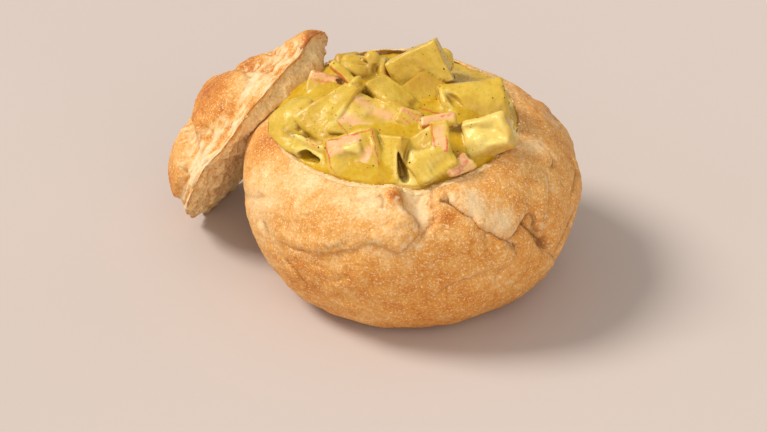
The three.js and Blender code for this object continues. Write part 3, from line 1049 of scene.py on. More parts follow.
@dataclass
class BreadBowl:
    """The loaf's lower part, hollowed out, with its folded and floury crust."""

    shape: LoafShape = LoafShape()
    finish: BreadFinish = BreadFinish("bread_crust")
    hollow: Hollow = Hollow(24.0, 38.0)
    front_half: float = 105.0  # azimuth up to which the columns are close together
    front_columns: int = 390
    back_columns: int = 136
    base_rings: int = 6
    lower_rings: int = 78
    upper_rings: int = 58
    rim_rings: int = 10
    wall_rings: int = 16
    floor_rings: int = 4
    cut_wall: float = 0.7  # how far the cut edge reaches in over the hollow
    deepest_bite: float = 1.8
    cut_slope: float = 1.6
    rim_crown: float = 0.9  # how far the middle of the cut edge stands up

    BITES = (Layer(TORN, 0.8, 9.0), Layer(TORN, 0.6, 3.0))
    LUMPINESS = (Layer(LUMPS, 1.3, 34), Layer(LUMPS, 0.8, 19, 3), Layer(LUMPS, 0.22, 4.5))
    STREAKS = Layer(LUMPS, 0.32, 2.6)
    ROUGHNESS = Layer(LUMPS, 0.13, 1.9)
    TORN_RIM = (Layer(TORN, 0.5, 5.0), Layer(TORN, 0.55, 2.2), Layer(TORN, 0.25, 1.3))
    RAGGED_EDGE = Layer(TORN, 0.35, 2.0)
    CUT_WAVER = Layer(TORN, 1.6, 4.0)  # degrees of latitude by which the crust's upper end wavers
    VALLEY = Spot(3, 27, 5, 9, 1.0)

    CREASES = (
        # left lobe: its low edge, then its right edge up to the rim
        Crease(((-59, 2), (-50, 3), (-42, 4), (-33, 5), (-24, 9), (-16, 13), (-10, 13), (-6, 11),
            (-2, 13), (3, 18), (-1, 23), (-3, 28), (-5, 35)), 1.5, 2.0, proud=2.4, reach=8, lip=0.8,
            dark=0.3, wander=1.3, fade=(0.25, 0), firm=0.6, pale=0.95),
        Crease(((-10, 11.4), (-7, 11.2), (-3.8, 12), (-0.6, 14.4), (1.6, 17.4), (0.2, 20.5), (-2.1, 22.8),
            (-4.4, 26), (-5, 31)), 2.0, 1.5, proud=2.2, reach=6, lip=1.3, dark=0.7, wander=0.7,
            fade=(0.3, 0.1), firm=1.1, pale=0.95),
        # right side of the front valley, down from the rim
        Crease(((10, 35), (8, 27), (9, 23), (7, 20), (4, 17), (2, 15)), 1.8, 1.4, proud=1.9, reach=7,
            lip=0.6, dark=0.6, fade=(0, 0.2), firm=1.0, pale=0.6),
        # lip of the floury flap
        Crease(((14, 30), (17, 25), (19, 22), (22, 20), (24, 17), (26, 15), (30, 12), (33, 9)), 2.2, 1.2,
            proud=2.0, reach=7, lip=1.9, dark=1.0, fade=(0.1, 0), firm=1.2, pale=0.9),
        # right edge of the flap
        Crease(((32, 9.5), (37.5, 12.4), (40.7, 13.5), (43, 15), (46, 15)), 3.2, 1.5, proud=1.8, reach=5,
            lip=1.2, dark=1.2, fade=(0, 0.25), firm=1.2, pale=0.6),
        Crease(((41, 13.4), (41.2, 11.1), (43, 8.4), (45.2, 5.6), (47.9, 1.3), (51.6, -3.7)), 2.8, 1.4,
            proud=2.0, reach=4, lip=0.8, dark=1.1, fade=(0.1, 0.1), firm=1.2, pale=0.5),
        Crease(((45.4, 14.9), (46, 12.4), (44.6, 10), (46, 8)), 1.8, 1.3, proud=1.4, reach=4, lip=0.5,
            dark=0.9, firm=1.1),
        # right edge of the central lobe
        Crease(((28, -6), (29, -1), (32, 0), (35, 2), (35, 4), (35, 6), (33, 9)), 2.4, 1.5, proud=2.6,
            reach=7, lip=1.6, dark=0.9, fade=(0.2, 0), firm=1.1, pale=0.6),
        Crease(((0, -10), (7, -6), (13, -2), (18, -1), (22, 0), (27, 1), (31, 0)), 1.4, 1.8, proud=2.0,
            reach=9, dark=0.4, fade=(0.4, 0.05), firm=0.8),
        Crease(((11, -3), (14, -3), (17, -1), (20, 0)), 0.9, 0.7, proud=0.4, reach=3, dark=0.8,
            wander=1.6),
        # pocket at the right, and the sharp fold that shades it
        Crease(((49.4, 6), (49.8, 3.5), (51.0, 0.6), (52.8, -2.8)), 6.5, 3.0, dark=1.5, wander=0.3,
            firm=1.4, pale=0),
        Crease(((60, -12), (58, -10), (52, -4), (47, 2), (44, 8), (41, 12)), 1.6, 1.3, proud=1.6, reach=6,
            lip=0.8, dark=0.6, fade=(0.25, 0.1), firm=0.9),
        Crease(((46.5, 4.5), (47.3, 5.7), (48.6, 9.9), (50.2, 10.1), (52.9, 12.6), (56, 15), (59.1, 18.4),
            (61.6, 21.4), (60, 26)), 2.6, 1.5, proud=2.4, reach=6, lip=1.1, dark=0.9, fade=(0.05, 0.3),
            firm=1.1, pale=0.8),
        Crease(((64, 22), (68, 22), (70.9, 22.7), (72.2, 23.7), (74.9, 29.1)), 2.0, 1.2, proud=1.7,
            reach=5, lip=1.1, dark=1.0, fade=(0.3, 0.15), firm=1.1, pale=0.8),
        Crease(((85, 16), (80, 12), (74, 10), (68, 8)), 1.4, 1.4, proud=1.5, reach=6, lip=0.4, dark=0.5,
            firm=0.8),
        Crease(((76, 1), (70, -3), (63, -4), (57, -8)), 1.8, 1.6, proud=1.8, reach=6, lip=0.6, dark=0.7,
            firm=0.8),
        Crease(((25, 14), (24.4, 10.5), (25, 8)), 1.2, 0.9, dark=0.7, firm=1.0),
        Crease(((30, 11.5), (32.5, 9.0), (32.3, 6.5), (35, 5.4)), 1.4, 1.1, dark=0.9, wander=1.6,
            firm=1.1),
        Crease(((10.8, 27.3), (14, 26.6), (17.7, 25.1)), 1.5, 1.1, proud=1.0, reach=3, dark=1.0,
            firm=1.1),
        Crease(((19, 30), (18, 28), (18.5, 26)), 1.0, 1.0, dark=0.6, pale=1.0),
        # left side
        Crease(((-39, -13), (-44, -7), (-50, -4), (-57, 2), (-60, 6)), 1.9, 1.5, proud=1.4, reach=6,
            lip=0.4, dark=0.75, firm=0.9),
        Crease(((-13, 29), (-11.5, 27), (-11, 24)), 1.3, 1.1, proud=0.8, reach=4, dark=0.9, firm=1.1),
        Crease(((-24, 26), (-19, 27), (-14, 26)), 0.9, 1.3, proud=0.9, reach=5, dark=0.3, pale=0.9),
        Crease(((-30, 9), (-25, 11), (-21, 14)), 0.8, 1.2, proud=0.8, reach=4, dark=0.3, pale=1.0),
        Crease(((-22, 27), (-20, 26)), 0.9, 0.9, dark=0.5),
        Crease(((-33, 7), (-30, 6)), 1.0, 1.0, dark=0.5),
        Crease(((-27, -4), (-23, -1)), 0.8, 0.9, dark=0.4),
        Crease(((-81, 5), (-69, 10), (-59, 16)), 1.2, 1.8, proud=1.0, reach=7, dark=0.25),
        # soft grooves low on the front
        Crease(((-24, -9), (-12, -1), (-2, 4), (7, 4)), 0.9, 3.0, dark=0.05, fade=(0.4, 0.4)),
        Crease(((-9, -8), (0, -1), (8, 3), (18, 6)), 0.8, 2.6, dark=0.05, fade=(0.4, 0.4)),
        Crease(((-30, -12), (-18, -12), (-6, -9)), 0.7, 3.0, dark=0.05, fade=(0.4, 0.4)),
        # sides and back, which the picture does not show
        Crease(((74, -6), (86, 2), (98, 5), (112, 13), (121, 24)), 2.2, 1.6, proud=2.0, reach=9, lip=1.0,
            dark=0.5),
        Crease(((200, -6), (190, 0), (182, 8), (170, 12), (160, 20), (152, 22)), 1.6, 1.8, proud=2.4,
            reach=10, lip=1.0, dark=0.3, wander=1.8, firm=0.6, pale=0.95),
        Crease(((168, -4), (160, 2), (156, 10), (158, 16)), 1.2, 1.5, proud=1.4, reach=6, dark=0.3,
            wander=1.6, pale=0.9),
        Crease(((-166, 33), (-164, 26), (-157, 16), (-155, 6), (-146, -2)), 1.6, 1.5, proud=2.0, reach=8,
            lip=1.0, dark=0.4, wander=1.6, firm=0.6, pale=0.9),
        Crease(((-134, -10), (-122, -4), (-112, 4), (-98, 8)), 1.4, 1.4, proud=1.2, reach=8, dark=0.4),
        Crease(((128, -12), (140, -9), (152, -10)), 1.0, 1.2, proud=0.8, reach=6, dark=0.4),
    )
    SWELLS = (
        Spot(-16, 23, 15, 8, 2.5), Spot(18, 14, 11, 8, 2.0), Spot(38, 24, 9, 8, 2.0),
        Spot(75, 12, 14, 12, 1.5), Spot(-92, -8, 24, 14, -2.0), Spot(150, 20, 30, 14, 1.5),
        Spot(-120, 15, 26, 16, 1.5), Spot(2, 27, 4.5, 9, -3.2), Spot(-7, 29, 3.5, 4, 1.2),
        Spot(53, 31, 5, 4.0, 2.8), Spot(-6, 18, 6, 6, 1.5), Spot(-45, 23, 4, 3, -0.8),
    )
    BAKES = (
        Spot(13, 21, 4, 3, 0.7), Spot(54, 29, 7, 5, 0.15), Spot(32, 28, 4, 3, 0.3),
        Spot(46, 27, 9, 7, 0.15), Spot(-7.5, 28, 3.2, 3.2, 1.55), Spot(-30, 27, 5, 3, 0.2),
        Spot(80, 10, 20, 20, 0.2), Spot(0, -12, 60, 12, 0.3), Spot(5, 4, 26, 9, 0.2),
        Spot(-60, 12, 16, 16, -0.3), Spot(-25, 28, 24, 5, -0.5), Spot(60, 10, 10, 7, 0.1),
        Spot(-12, 18, 10, 5, 0.15), Spot(-20, 0, 20, 5, 0.15), Spot(-78, 28, 10, 12, 0.5),
        Spot(130, 18, 30, 14, 0.4), Spot(-150, 25, 20, 10, 0.4), Spot(-48, 26, 9, 5, -0.25),
        Spot(0, -30, 180, 9, 0.25),
    )
    FLOURS = (
        Spot(2, 29, 4, 8, 0.7), Spot(4, 22, 3, 5, 0.65), Spot(24, 24, 5, 6, 0.8), Spot(32, 16, 6, 4, 0.9),
        Spot(72, 29, 8, 5, 0.6), Spot(-10, 10, 9, 2.0, 0.45), Spot(0, 13, 4, 2, 0.6),
        Spot(-35, 3, 10, 2.2, 0.35), Spot(176, 22, 7, 9, 0.7), Spot(-128, 10, 9, 6, 0.6),
        Spot(104, 22, 8, 6, 0.6),
    )

    def _columns(self) -> Values:
        """Azimuths of the mesh's columns, close together at the front."""
        front = np.linspace(-self.front_half, self.front_half, self.front_columns, endpoint=False)
        back = np.linspace(self.front_half, 360 - self.front_half, self.back_columns, endpoint=False)
        return np.radians(np.concatenate([front, back]))

    def _base_skin(self) -> Skin:
        """Smooth closed skin of the bowl, before any relief.

        Returns:
            The skin, with `outer` 1 on the crust and 0 inside, and `rim` 1 on the cut edge.
        """
        shape, mouth = self.shape, self.shape.mouth
        azimuth = self._columns()
        around = np.stack([np.sin(azimuth), -np.cos(azimuth)], axis=1)
        rings: list[Places] = []
        outer: list[float] = []
        rim: list[float] = []

        def add(radius: Values, height: Values, centre: Places, crust: float) -> None:
            """Adds a ring.

            Args:
                radius: Its radius.
                height: Its height.
                centre: Its middle.
                crust: 1 on the crust, 0 inside.
            """
            height = np.broadcast_to(np.asarray(height, float), azimuth.shape)
            flat = centre[..., :2] + around * np.reshape(radius, (-1, 1))
            rings.append(np.column_stack([flat, height]))
            outer.append(crust)
            rim.append(0)

        origin = np.zeros((1, 3))
        for share in (np.arange(self.base_rings) + 1) / (self.base_rings + 1):
            add(shape.base_radius * share, 0.0, origin, 1)
        for share in np.arange(self.lower_rings) / self.lower_rings:
            height = shape.waist * (1 - math.cos(share * math.pi / 2))
            add(float(shape.radius_at(np.array(height))), height, origin, 1)
        table = np.linspace(shape.waist, mouth.height + 4, 400)
        lengths = np.hypot(np.diff(table), np.diff(shape.radius_at(table)))
        run = np.concatenate([[0], np.cumsum(lengths)])
        top = np.full(azimuth.shape, mouth.height)
        for _ in range(4):
            top = mouth.level(shape.axis_at(top)[:, 1] + around[:, 1] * shape.radius_at(top))
        end = np.interp(top, table, run)
        for share in np.arange(self.upper_rings) / (self.upper_rings - 1):
            height = np.interp(end * share, run, table)
            add(shape.radius_at(height), height, shape.axis_at(height), 1)
        edge = rings[-1]
        middle = np.array([[mouth.x, mouth.y, 0.0]])
        bite = self.cut_wall + lifted(self.BITES, edge)
        inner = middle[:, :2] + around * (mouth.radius - np.clip(bite, 0, self.deepest_bite))[:, None]
        inner = np.column_stack([inner, mouth.level(inner[:, 1]) - self.cut_slope])
        for share in (np.arange(self.rim_rings) + 1) / self.rim_rings:
            ring = edge + (inner - edge) * share
            ring[:, 2] += self.rim_crown * math.sin(math.pi * min(1.0, share * 1.15))
            rings.append(ring)
            outer.append(1 - share)
            rim.append(1)
        for share in (np.arange(self.wall_rings) + 1) / self.wall_rings:
            height = inner[:, 2] + (self.hollow.floor - inner[:, 2]) * share
            narrower = np.clip(bite, 0, self.deepest_bite) * (1 - share)
            radius = self.hollow.radius_at(np.clip(self.hollow.climb_at(height), 0, 1))
            add(radius - narrower, height, middle, 0)
        for share in (np.arange(self.floor_rings) + 1) / (self.floor_rings + 1):
            add(self.hollow.radius * (1 - share), self.hollow.floor, middle, 0)
        poles = np.array([[0, 0, 0], [mouth.x, mouth.y, self.hollow.floor]], float)
        points = np.concatenate([poles[:1], *rings, poles[1:]])
        columns = len(azimuth)
        return Skin(points, ring_corners(len(rings), columns), {
            "outer": np.concatenate([[1], np.repeat(outer, columns), [0]]),
            "rim": np.concatenate([[0], np.repeat(rim, columns), [0]]),
        })

    def _raised(self, height: Values, base: Places, latitude: Values, valley: Values) -> Values:
        """Adds lumps, wrinkles and streaks to the crust's relief.

        Args:
            height: The relief that the folds and swells give.
            base: The crust's points before any relief.
            latitude: Their latitudes.
            valley: How much they lie in the torn valley under the rim.

        Returns:
            The whole relief.
        """
        streak = base * (0.35, 0.35, 1.0) + latitude[:, None] * 0.12
        relief = height + lifted(self.LUMPINESS, base)
        relief -= wrinkles(base, 15.0, 0.55) + wrinkles(base + 50, 7.0, 0.3)
        relief += self.STREAKS.at(streak) * ease(latitude, 12, 0)
        relief += self.ROUGHNESS.at(base)
        return relief - 1.3 * valley * np.abs(TORN.smooth(base * (1.6, 1.0, 0.8), 3.6))

    def _looks(self, base: Places, outer: Values, folds: Folds) -> dict[str, Values]:
        """Values that the finish reads.

        Args:
            base: The bowl's points before any relief.
            outer: 1 on the crust, 0 inside.
            folds: The crust's folds.

        Returns:
            The values, by name.
        """
        azimuth, latitude = self.shape.directions(base)
        flour = summed(self.FLOURS, azimuth, latitude)
        edge = ease(latitude + self.CUT_WAVER.at(base), 32.5, 35.0)
        paler_right = 1 - 0.55 * ease(azimuth, 26, 46)
        return {
            "bake": summed(self.BAKES, azimuth, latitude),
            # flour also holds the folds' pale lips, partly a painted highlight
            "flour": np.clip(np.maximum(flour, folds.lips), 0, 1),
            # crease: painted shade in the folds' grooves
            "crease": np.clip(folds.dark, 0, 1.4) * outer,
            "crumb": np.where(outer > 0.99, 0.75 * edge, 1.0) * paler_right,
            "pore_shade": np.zeros(len(base)),
        }

    def build(self) -> Piece:
        """Makes the bowl with its folds, and dresses it.

        Returns:
            The bowl's object.
        """
        shape, skin = self.shape, self._base_skin()
        base, outer, rim = skin.points.copy(), skin.values.pop("outer"), skin.values.pop("rim")
        normals = skin.normals()
        azimuth, latitude = shape.directions(base)
        crust = outer * ease(base[:, 2], 0.3, 6.0)
        folds = Folds.over(base, shape, self.CREASES, summed(self.SWELLS, azimuth, latitude))
        relief = self._raised(folds.height, base, latitude, self.VALLEY.at(azimuth, latitude))
        moved = base + normals * (relief * crust)[:, None] + folds.shift * crust[:, None]
        near_cut = ease(base[:, 2] - shape.mouth.level(base[:, 1]), -9.0, -0.5)
        torn = rim * lifted(self.TORN_RIM, base)
        moved[:, 2] += torn + near_cut * shape.mouth.swell(base[:, 0], base[:, 1])
        near_rim = ease(latitude, 30.5, 35.5) * outer
        moved += normals * (near_rim * self.RAGGED_EDGE.at(base))[:, None]
        moved[:, 2] = np.maximum(moved[:, 2], 0)
        skin.points = moved
        skin.values = self._looks(base, outer, folds)
        piece = skin.to_object("bread_bowl_loaf", self.finish.material())
        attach(piece, "root")
        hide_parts("bread_bowl")
        self.skin = skin
        log.info("bread bowl: %d triangles", len(skin.corners))
        return piece

    def cut_edge(self) -> Skin:
        """The torn cut rim, once the bowl is built.

        Returns:
            The surface on which crumbs lie.
        """
        points, mouth = self.skin.points, self.shape.mouth
        out = np.hypot(points[:, 0] - mouth.x, points[:, 1] - mouth.y)
        torn = np.abs(points[:, 2] - mouth.level(points[:, 1])) < 3.0
        return self.skin.part(torn & (out > mouth.radius - 2.5) & (out < mouth.radius + 4))


@dataclass(frozen=True)
class CapShape:
    """Smooth form of the cut-off cap in its own frame: +Z leaves the crumb side.

    Its surface coordinates are the angle from its thin side, in degrees, and the height.
    """

    radius: float = 60.0
    dome: float = 28.5
    hump: float = 5.0
    hump_width: float = 14.0
    bulge: float = 5.5
    axis: float = math.radians(49)
    thin_power: float = 1.5
    full_power: float = 4.0
    at: tuple[float, float, float] = (-79.8, 54.1, 53.0)
    lean: float = 117.3
    turn: float = 62.5

    def outline(self, angle: Values) -> Values:
        """Share by which the outline stands out of a true circle at an angle."""
        return 1 + 0.015 * np.sin(3 * angle + 0.6) + 0.01 * np.sin(5 * angle + 2)

    def power_at(self, angle: Values) -> Values:
        """How full the dome is at an angle."""
        thin, full = self.thin_power, self.full_power
        return (thin + full + (thin - full) * np.cos(angle - self.axis)) / 2

    def depth_at(self, out: Values, angle: Values) -> Values:
        """Depth of the dome at a distance from its middle."""
        fall = 1 - np.clip(out / self.radius, 0, 1) ** self.power_at(angle)
        return self.dome * fall + self.hump * bell(out / self.hump_width)

    def reach(self, angle: Values, height: Values) -> Places:
        """Finds points of the dome.

        Args:
            angle: Degrees from the thin side.
            height: Heights, 0 at the cut and negative under it.

        Returns:
            The points.
        """
        around = np.radians(angle) + self.axis
        out = self.radius * np.clip(1 + height / self.dome, 0, 1) ** (1 / self.power_at(around))
        flat = out * self.outline(around)
        return np.stack([flat * np.cos(around), flat * np.sin(around), height], axis=1)

    def outward(self, points: Places) -> Places:
        """Rough outward directions at points of the dome."""
        away = points - (0, 0, 8.0)
        return away / np.linalg.norm(away, axis=1, keepdims=True)

    def placed(self, points: Places) -> Places:
        """Points of the cap's own frame in the part's frame."""
        return points @ turned(0, self.lean, self.turn).T + self.at


@dataclass
class BreadCap:
    """The cut-off top of the loaf, which leans on the loaf's left shoulder."""

    shape: CapShape = CapShape()
    loaf: LoafShape = LoafShape()
    finish: BreadFinish = BreadFinish("bread_cap_crumb", toast=0.42)
    columns: int = 450
    dome_rings: int = 100
    crumb_rings: int = 72
    clearance: float = 0.5
    hang: float = 10.5  # how far the torn crumb hangs out at the near side
    tongue: float = 4.2  # how far it hangs out sideways there
    bow: float = 3.6  # how far the near edge of the cut bows up

    LUMPINESS = (Layer(LUMPS, 0.9, 18, 3), Layer(LUMPS, 0.2, 4.0), Layer(LUMPS, 0.1, 1.8))
    LOBE_WOBBLE = Layer(TORN, 0.16, 9.0)
    LOBE_FLUTTER = Layer(TORN, 0.07, 3.0)
    STRANDS = Layer(TORN, 0.5, 2.6)
    RAGGED_EDGE = (Layer(TORN, 1.6, 12.0), Layer(TORN, 1.0, 5.0), Layer(TORN, 0.5, 2.2))
    TORN_FACE = (Layer(TORN, 2.6, 15.0), Layer(TORN, 1.5, 6.0), Layer(TORN, 0.7, 2.6))
    FINE_TEAR = Layer(TORN, 0.35, 1.3)
    HANG_WAVER = Layer(TORN, 2.2, 7.0)
    SHREDS = Layer(TORN, 1.1, 3.6)
    BOW_WAVER = Layer(TORN, 0.9, 9.0)

    CREASES = (
        Crease(((64, -24), (60, -17), (63, -10), (60, -4)), 1.2, 1.6, dark=0.4, wander=2.0, pale=0.8),
        Crease(((52, -18), (50, -13), (52, -8)), 1.6, 1.3, proud=0.8, reach=4, dark=0.8, pale=0.6),
        Crease(((118, -24), (124, -19), (122, -12), (126, -7)), 1.6, 1.9, dark=0.3, wander=2.0, pale=0.8),
        Crease(((-60, -24), (-72, -14), (-86, -8), (-100, -7), (-116, -10), (-126, -18)), 0.8, 1.6,
            proud=1.8, reach=13, lip=0.3, dark=0.15, wander=2.2),
        Crease(((-20, -14), (-35, -10), (-50, -9)), 1.0, 1.4, proud=1.2, reach=7, dark=0.3),
    )
    LOBES = (  # smooth baked lobes: middle, half width and height, and how far they stand out
        Spot(90, -21, 30, 14.5, 2.4), Spot(158, -17, 30, 10.5, 3.2), Spot(46, -17, 8, 6, 1.8),
        Spot(-95, -21, 30, 13, 2.4), Spot(-158, -20, 24, 10, 2.2), Spot(12, -5, 26, 5.5, 1.6),
    )
    BAKES = (
        Spot(94, -20, 34, 12, 0.95), Spot(165, -17, 22, 9, 0.7), Spot(45, -18, 10, 5, 0.5),
        Spot(14, -3, 16, 4, 0.5), Spot(-90, -20, 30, 10, 0.6), Spot(-150, -18, 20, 9, 0.5),
        Spot(0, -31, 180, 4, 0.2), Spot(170, -2, 26, 5, 0.2), Spot(95, -4, 50, 5, -0.35),
        Spot(20, -0.6, 50, 1.5, 0.9), Spot(125, -12, 6, 10, -0.5),
    )
    NOTCHES = (
        Spot(127, -21, 7, 9, -3.2), Spot(57, -22, 5, 9, -2.0), Spot(32, -12, 7, 5, 1.2),
        Spot(18, -4, 12, 4, 2.0),
    )

    def _base_skin(self) -> tuple[Skin, Values]:
        """Smooth closed skin of the cap in its own frame.

        Returns:
            The skin, and how far each point of the crumb side lies from its edge, 0 on the crust.
        """
        shape = self.shape
        angle = np.linspace(0, 2 * math.pi, self.columns, endpoint=False)
        uneven = shape.outline(angle)
        rings, face = [], []

        def add(out: Values | float, height: Values, inset: float) -> None:
            """Adds a ring at a distance from the cap's middle."""
            rings.append(np.column_stack([
                out * uneven * np.cos(angle), out * uneven * np.sin(angle), height]))
            face.append(inset)

        for share in (np.arange(self.dome_rings) + 1) / self.dome_rings:
            out = np.full(angle.shape, shape.radius * math.sin(share * math.pi / 2))
            add(out, -shape.depth_at(out, angle), 0.0)
        for share in (np.arange(self.crumb_rings) + 1) / (self.crumb_rings + 1):
            out = shape.radius * (1 - share)
            height = np.full(angle.shape, shape.bulge * math.sqrt(1 - (1 - share) ** 2))
            add(out, height, shape.radius - out)
        poles = np.array([[0, 0, -shape.dome - shape.hump], [0, 0, shape.bulge]])
        base = np.concatenate([poles[:1], *rings, poles[1:]])
        inset = np.concatenate([[0], np.repeat(face, self.columns), [shape.radius]])
        return Skin(base, ring_corners(len(rings), self.columns)), inset

    def _lobes(self, across: Values, base: Places, relief: Values) -> tuple[Values, Values]:
        """Raises the smooth baked lobes.

        Args:
            across: Angles from the thin side.
            base: The cap's points before any relief.
            relief: The relief so far.

        Returns:
            The relief with the lobes, and how much each point lies on one.
        """
        wobble, flutter = self.LOBE_WOBBLE.at(base), self.LOBE_FLUTTER.at(base)
        lobes = np.zeros(len(base))
        for lobe in self.LOBES:
            inside = ease(lobe.inside(across, base[:, 2]) + wobble + flutter, 0.0, 0.3)
            relief = relief + lobe.amount * inside
            lobes = np.maximum(lobes, inside)
        return relief, lobes

    def _torn(self, base: Places, inset: Values, thin: Values, near: Values) -> tuple[Values, Values, Values]:
        """Relief of the torn crumb side.

        Args:
            base: The cap's points before any relief.
            inset: Their distance from the crumb side's edge.
            thin: Their distance from the middle towards the thin side.
            near: Their distance from the middle across it.

        Returns:
            The relief, how much each point lies on the overhanging part, and how deep in a pore.
        """
        pores = TORN.cells(base + 2.0 * TORN.smooth(base, 5.0)[:, None], 4.2)
        holes = 1 - ease(pores, 0.1, 0.45)
        torn = lifted(self.TORN_FACE, base)
        torn += self.FINE_TEAR.at(base) - 1.3 * holes
        overhang = ease(near + 0.35 * thin, 5, 38) * ease(thin, -14, 8) * ease(thin, 60, 38)
        torn += overhang * (self.hang + self.HANG_WAVER.at(base)) * ease(inset, 0.0, 13)
        clumps = TORN.cells(base + 1.2 * TORN.smooth(base, 2.6)[:, None], 3.0)
        torn += (0.4 + 0.6 * overhang) * 2.2 * (0.5 - clumps) * ease(inset, 0.5, 4)
        torn += self.SHREDS.at(base) * ease(np.abs(thin), 10, 45)
        return torn, overhang, holes

    def _clear_of_loaf(self, placed: Places) -> Places:
        """Pushes points of the cap, in the part's frame, out of the loaf.

        Args:
            placed: The points.

        Returns:
            The points, none of which lies in the loaf's crust or under the ground.
        """
        away = (placed - self.loaf.axis_at(placed[:, 2]))[:, :2]
        out = np.hypot(away[:, 0], away[:, 1])
        gap = out - self.loaf.radius_at(placed[:, 2]) - self.clearance
        above = placed[:, 2] - self.loaf.mouth.level(placed[:, 1])
        push = np.where(gap < 0, -gap, 0) * ease(above, 2.5, 0.5) / np.maximum(out, 1e-6)
        placed[:, :2] += away * push[:, None]
        placed[:, 2] = np.maximum(placed[:, 2], 0)
        return placed

    def build(self) -> Piece:
        """Makes the cap where it leans, and dresses it.

        Returns:
            The cap's object.
        """
        shape = self.shape
        skin, inset = self._base_skin()
        base, normals = skin.points, skin.normals()
        up = base[:, 2]
        crumb = ease(inset, 0.2, 2.5)
        crust = np.where(inset > 0, 0.0, 1.0)
        across = (np.degrees(np.arctan2(base[:, 1], base[:, 0]) - shape.axis) + 180) % 360 - 180
        out = np.hypot(base[:, 0], base[:, 1])
        thin, near = out * np.cos(np.radians(across)), out * np.sin(np.radians(across))
        folds = Folds.over(base, shape, self.CREASES, np.zeros(len(base)))
        relief, lobes = self._lobes(across, base, folds.height + summed(self.NOTCHES, across, up))
        band = (1 - lobes) * ease(up, -30, -24) * ease(np.abs(across), 12, 40)
        streak = np.column_stack([thin * 0.14, near * 0.14, up])
        relief += lifted(self.LUMPINESS, base)
        fibres = TORN.smooth(streak, 1.7) + 0.6 * TORN.smooth(streak + 40, 0.8)
        relief += band * (0.8 * fibres + self.STRANDS.at(base) - 0.6)
        relief -= wrinkles(base + 20, 13.0, 0.8)
        edge = ease(up, -7, 0) * crust + (1 - ease(inset, 0, 6)) * (inset > 0)
        torn, overhang, holes = self._torn(base, inset, thin, near)
        moved = base + normals * ((relief * crust) * (1 - 0.6 * ease(up, -3, 0)))[:, None]
        moved += folds.shift * crust[:, None]
        moved[:, 2] += torn * crumb
        outward = base * (1, 1, 0) / np.maximum(out, 1e-6)[:, None]
        tongue = self.tongue * overhang * ease(inset, 1, 8) * ease(inset, 30, 9) * (inset > 0)
        moved += outward * (edge * lifted(self.RAGGED_EDGE, base) + tongue)[:, None]
        bowed = ease(across, 26, 52) * ease(across, 126, 108) * (self.bow + self.BOW_WAVER.at(base))
        moved[:, 2] += bowed * ease(up, -14, -1) * ease(near, -14, 22)
        skin.points = self._clear_of_loaf(shape.placed(moved))
        bake = (summed(self.BAKES, across, up) - 0.9 * band * fibres) * crust
        skin.values = {
            "bake": bake + overhang * overhang * crumb * 0.5,
            # flour also holds the folds' pale lips, partly a painted highlight
            "flour": np.clip(np.maximum(band * (0.42 + 0.8 * fibres), folds.lips), 0, 1) * crust,
            # crease: painted shade in the folds' grooves
            "crease": np.clip(folds.dark, 0, 1) * crust,
            "crumb": np.clip(crumb, 0, 1),
            # painted shade in the crumb's pits
            "pore_shade": np.clip(holes, 0, 1) * crumb,
        }
        piece = skin.to_object("bread_cap_top", self.finish.material())
        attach(piece, "root")
        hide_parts("bread_cap")
        log.info("bread cap: %d triangles", len(skin.corners))
        return piece


# ---- curry ----


@dataclass(frozen=True)
class Knob:
    """Lump on a piece, or a dent in it, in the piece's own frame."""

    x: float
    y: float
    z: float
    across: float
    along: float
    deep: float
    dent: bool = False
    power: float = 2.0  # 2 for a round lump, more for a square one
    soft: float = 2.6  # width of the fillet round it
    turn: float = 0.0  # degrees, about the face's normal


@dataclass(frozen=True)
class Stain:
    """Red skin, pink flesh or painted shade along a line on a piece's face, in the piece's own frame."""

    x: float
    y: float
    to_x: float
    to_y: float
    width: float
    red: float = 0.0
    pink: float = 0.0
    # painted shade along the line
    shade: float = 0.0


